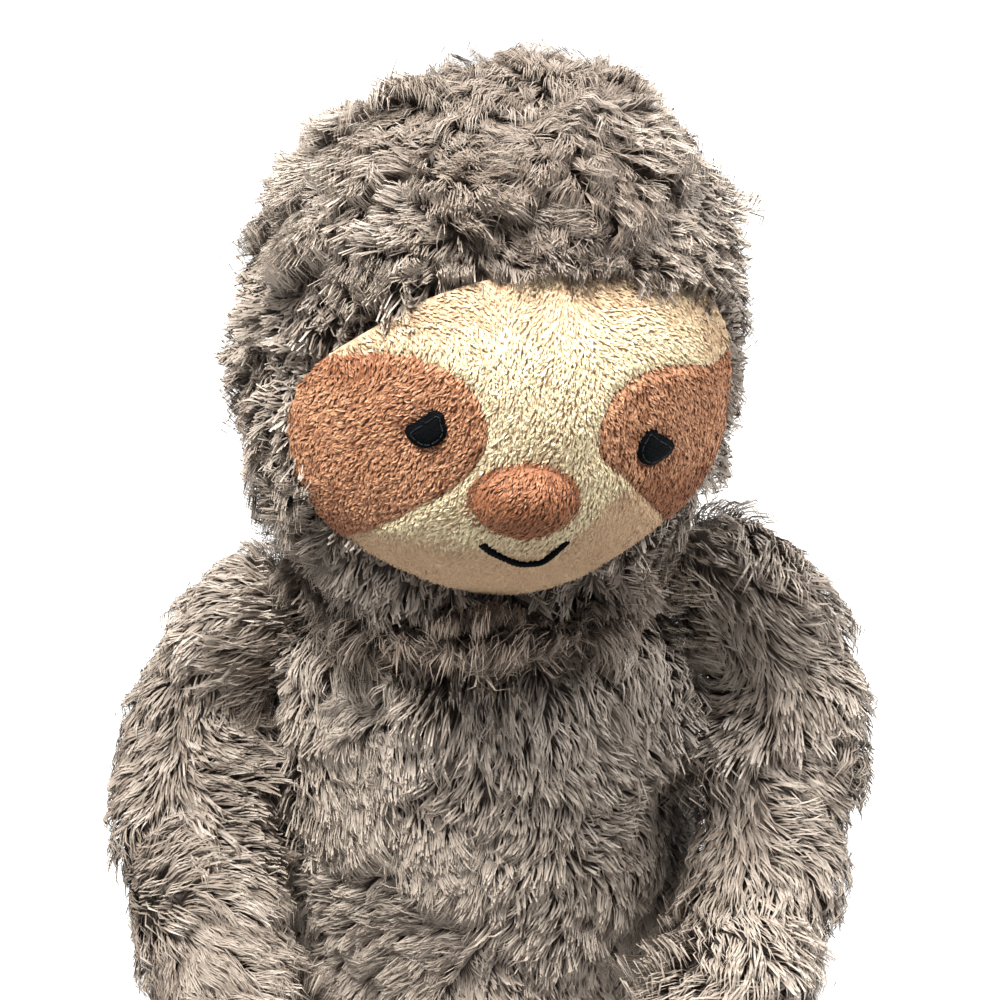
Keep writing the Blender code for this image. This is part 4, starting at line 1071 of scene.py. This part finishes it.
for ring in range(NOSE_RINGS - 1):
    a, b = 1 + ring * NOSE_SEGMENTS, 1 + (ring + 1) * NOSE_SEGMENTS
    faces += [(a + k, b + k, b + (k + 1) % NOSE_SEGMENTS, a + (k + 1) % NOSE_SEGMENTS)
              for k in range(NOSE_SEGMENTS)]
nose_mesh = bpy.data.meshes.new("nose_cloth")
nose_mesh.from_pydata(nose_points, [], faces)
nose = turned_out(nose_mesh)
from_rim = np.hypot(rings[:, 0] - NOSE_MIDDLE[0],
                    (rings[:, 1] - NOSE_MIDDLE[1]) * NOSE_HALF_WIDTH / NOSE_HALF_HEIGHT)
groove = np.exp(-((from_rim / NOSE_HALF_WIDTH - NOSE_RIM_SHARE) / NOSE_GROOVE) ** 2)
# Painted shade: darker in the groove at the rim; the whole nose is darker than the patches
groom(nose.data, "face", 1 - 0.5 * groove, 1 - 0.4 * groove, 1 - 0.5 * groove, -0.5 - 0.4 * groove)
napped(nose, "nose", "head", "brown")

# Eyes and mouth
# Embroidered in black thread. Each eye is a pad of satin stitch with a row of short
# stitches inside its edge, and the mouth is one twisted line sewn down to the chin.


def thread_tree():
    """The tree that turns drawn lines into round threads."""
    tree, given = modifier_tree("thread", (
        ("Thread radius", "Float"), ("Sides", "Int"), ("Thread material", "Material")))
    line = node_in(tree, "GeometryNodeMeshToCurve", {"Mesh": given["Geometry"]})
    ring = node_in(tree, "GeometryNodeCurvePrimitiveCircle", {
        "Resolution": given["Sides"], "Radius": given["Thread radius"]})
    tube = node_in(tree, "GeometryNodeCurveToMesh", {
        "Curve": line.outputs[0], "Profile Curve": ring.outputs[0], "Fill Caps": True})
    real = node_in(tree, "GeometryNodeRealizeInstances", {0: tube.outputs[0]})
    rounded = node_in(tree, "GeometryNodeSetShadeSmooth", {0: real.outputs[0]})
    dyed = node_in(tree, "GeometryNodeSetMaterial", {
        "Geometry": rounded.outputs[0], "Material": given["Thread material"]})
    node_in(tree, "NodeGroupOutput", {0: dyed.outputs[0]})
    return tree


THREAD_TREE = thread_tree()


def threads(name, lines, radius, sides, material):
    """Round threads along the lines, each a list of places."""
    points, edges = [], []
    for line in lines:
        edges += [(len(points) + i, len(points) + i + 1) for i in range(len(line) - 1)]
        points += [tuple(place) for place in line]
    mesh = bpy.data.meshes.new(name)
    mesh.from_pydata(points, edges, [])
    obj = linked(name, mesh)
    run_tree(obj, THREAD_TREE, Thread_radius=radius, Sides=sides, Thread_material=material)
    return settled(obj)


def thread_dye(name, colour, roughness):
    """Black rayon thread: a silky gloss broken up by its twist."""
    made, tree, shader = noded_material(name, Specular_IOR_Level=0.04)
    twist = rough_noise(tree, shader, scale=2400.0, detail=2.0, height=0.00008)
    dark, light = ([c * share for c in colour] for share in (0.5, 1.6))
    gloss = node_in(tree, "ShaderNodeMapRange", {
        "Value": twist, "To Min": roughness - 0.12, "To Max": roughness + 0.15})
    tree.links.new(ramp(tree, twist, (0.4, dark), (0.65, light)), shader.inputs["Base Color"])
    tree.links.new(gloss.outputs["Result"], shader.inputs["Roughness"])
    return made


black_thread = thread_dye("black_thread", (0.003, 0.0038, 0.005), 0.5)
# The outline stitches are a lighter black than the satin, as painted sheen, and glossier
outline_thread_painted_sheen = thread_dye("black_thread_outline", (0.03, 0.033, 0.037), 0.35)


SATIN_SPACING, SATIN_RADIUS, SATIN_STEP, SATIN_OVER = 0.00030, 0.00021, 0.0008, 0.0001
SATIN_OUT, SATIN_IN, SATIN_WANDER = 0.0002, 0.0001, 0.00004
SATIN_SIDES, OUTLINE_SIDES, MOUTH_SIDES = 6, 5, 8
SATIN_WAYS = {"left": math.radians(28), "right": math.radians(-22)}
EYE_EDGE, EYE_STANDS, EYE_SLOPE = 0.0002, 0.0014, 0.0028
OUTLINE_INSET, OUTLINE_RADIUS, OUTLINE_STITCH, OUTLINE_PROUD = -0.0011, 0.00015, 4, 0.00018


def eye_height(spots, edge):
    """How far the satin stands at each spot: low at the eye's edge, and full inside it."""
    share = np.clip(inside_by(spots, edge) / EYE_SLOPE, 0, 1)
    return EYE_EDGE + (EYE_STANDS - EYE_EDGE) * share * (2 - share)


chance = np.random.default_rng(7)
for side, loop in eye_loops.items():
    along = np.array([math.cos(SATIN_WAYS[side]), math.sin(SATIN_WAYS[side])])
    over = np.array([-along[1], along[0]])
    edge = smooth_loop(loop, 6)
    rows = edge @ over
    stitches = []
    for row in np.arange(rows.min() + SATIN_SPACING / 2, rows.max(), SATIN_SPACING):
        reached = (edge @ along)[np.abs(rows - row) < SATIN_SPACING]
        start, end = reached.min() - SATIN_OVER, reached.max() + SATIN_OVER
        start, end = start + chance.uniform(-SATIN_OUT, SATIN_IN), end + chance.uniform(-SATIN_IN, SATIN_OUT)
        stops = np.linspace(start, end, max(4, int((end - start) / SATIN_STEP)))
        spots = stops[:, None] * along + (row + chance.uniform(-SATIN_WANDER, SATIN_WANDER)) * over
        stitches.append([above_face(x, z, h) for (x, z), h in zip(spots, eye_height(spots, edge))])
    satin = threads(f"eye_{side}_satin", stitches, SATIN_RADIUS, SATIN_SIDES, black_thread)
    ring = smooth_loop(grown_loop(loop, OUTLINE_INSET), 3)
    heights = eye_height(ring, edge) + SATIN_RADIUS + OUTLINE_PROUD
    places = [above_face(x, z, h) for (x, z), h in zip(ring, heights)]
    stitches = [places[i:i + OUTLINE_STITCH] for i in range(0, len(places), OUTLINE_STITCH)]
    rim = threads(f"eye_{side}_outline", stitches, OUTLINE_RADIUS, OUTLINE_SIDES, outline_thread_painted_sheen)
    for piece in (satin, rim):
        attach(piece, "head")
    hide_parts(f"eye_{side}")

MOUTH_STEPS, MOUTH_RADIUS, MOUTH_TURNS, MOUTH_STANDS = 10, 0.00056, 9, 0.0005
dense = []
for k in range(len(mouth_spots) - 1):
    before, start = mouth_spots[max(k - 1, 0)], mouth_spots[k]
    end, after = mouth_spots[k + 1], mouth_spots[min(k + 2, len(mouth_spots) - 1)]
    dense += [between(before, start, end, after, step / MOUTH_STEPS) for step in range(MOUTH_STEPS)]
dense = np.array(dense)
run = np.gradient(dense, axis=0)
run /= np.linalg.norm(run, axis=1)[:, None]
plies = []
for ply in range(3):
    line = []
    for i, ((x, z), (run_x, run_z)) in enumerate(zip(dense, run)):
        share = i / (len(dense) - 1)
        turn = math.tau * (ply / 3 + MOUTH_TURNS * share)
        fat = MOUTH_RADIUS * (1.5 - 0.5 * min(1, share * 4))
        dive = MOUTH_STANDS * (1 - (2 * share - 1) ** 8) + fat * math.sin(turn)
        aside = fat * math.cos(turn)
        line.append(above_face(x - run_z * aside, z + run_x * aside, dive))
    plies.append(line)
mouth = threads("mouth_thread", plies, MOUTH_RADIUS, MOUTH_SIDES, black_thread)
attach(mouth, "head")
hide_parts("mouth")

# Pellet pouch
# A plain woven bag of pellets sits low inside the body, so that the toy sits up by
# itself. It is closed all round and lies loose in the stuffing.
POUCH_VOXEL, POUCH_SHRINK = 0.003, 0.0005
pouch = stuffed_form("pellet_pouch_bag", ["pellet_pouch"], POUCH_VOXEL, POUCH_SHRINK, rounds=1)
pouch.data.materials.clear()
pouch.data.materials.append(knit_backing("pouch_weave", (0.42, 0.39, 0.34), (0.62, 0.58, 0.52), 0.9))
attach(pouch, "torso")
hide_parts("pellet_pouch")

# Claws
# Three soft tubes of the brown nap at each paw, lightly stuffed and sewn into
# the end seam.
CLAW_VOXEL, CLAW_NAP_DEPTH = 0.0012, 0.0009
CLAW_NAP = dict(NAP, Strands_per_square_metre=1.8e6)
CLAW_ROOT = 0.008
for limb in ("arm", "leg"):
    for side in ("left", "right"):
        body = f"{limb}_{side}"
        for k in range(1, 4):
            node_name = f"{body}_claw_{k}"
            claw = stuffed_form(f"{node_name}_cloth", [node_name], CLAW_VOXEL, CLAW_NAP_DEPTH)
            places = vertex_values(claw.data)
            middle = places.mean(0)
            sewn = np.array(trees[body].find_nearest(Vector(middle))[0])
            along = (middle - sewn) / np.linalg.norm(middle - sewn)
            share = places @ along
            share = (share - share.min()) / np.ptp(share)
            places -= along * CLAW_ROOT * (1 - share[:, None]) ** 2
            claw.data.vertices.foreach_set("co", places.ravel())
            claw.data.update()
            groom(claw.data, body, 1.0)
            napped(claw, node_name, body, "brown", sizes=CLAW_NAP, flat=False)

low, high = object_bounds()
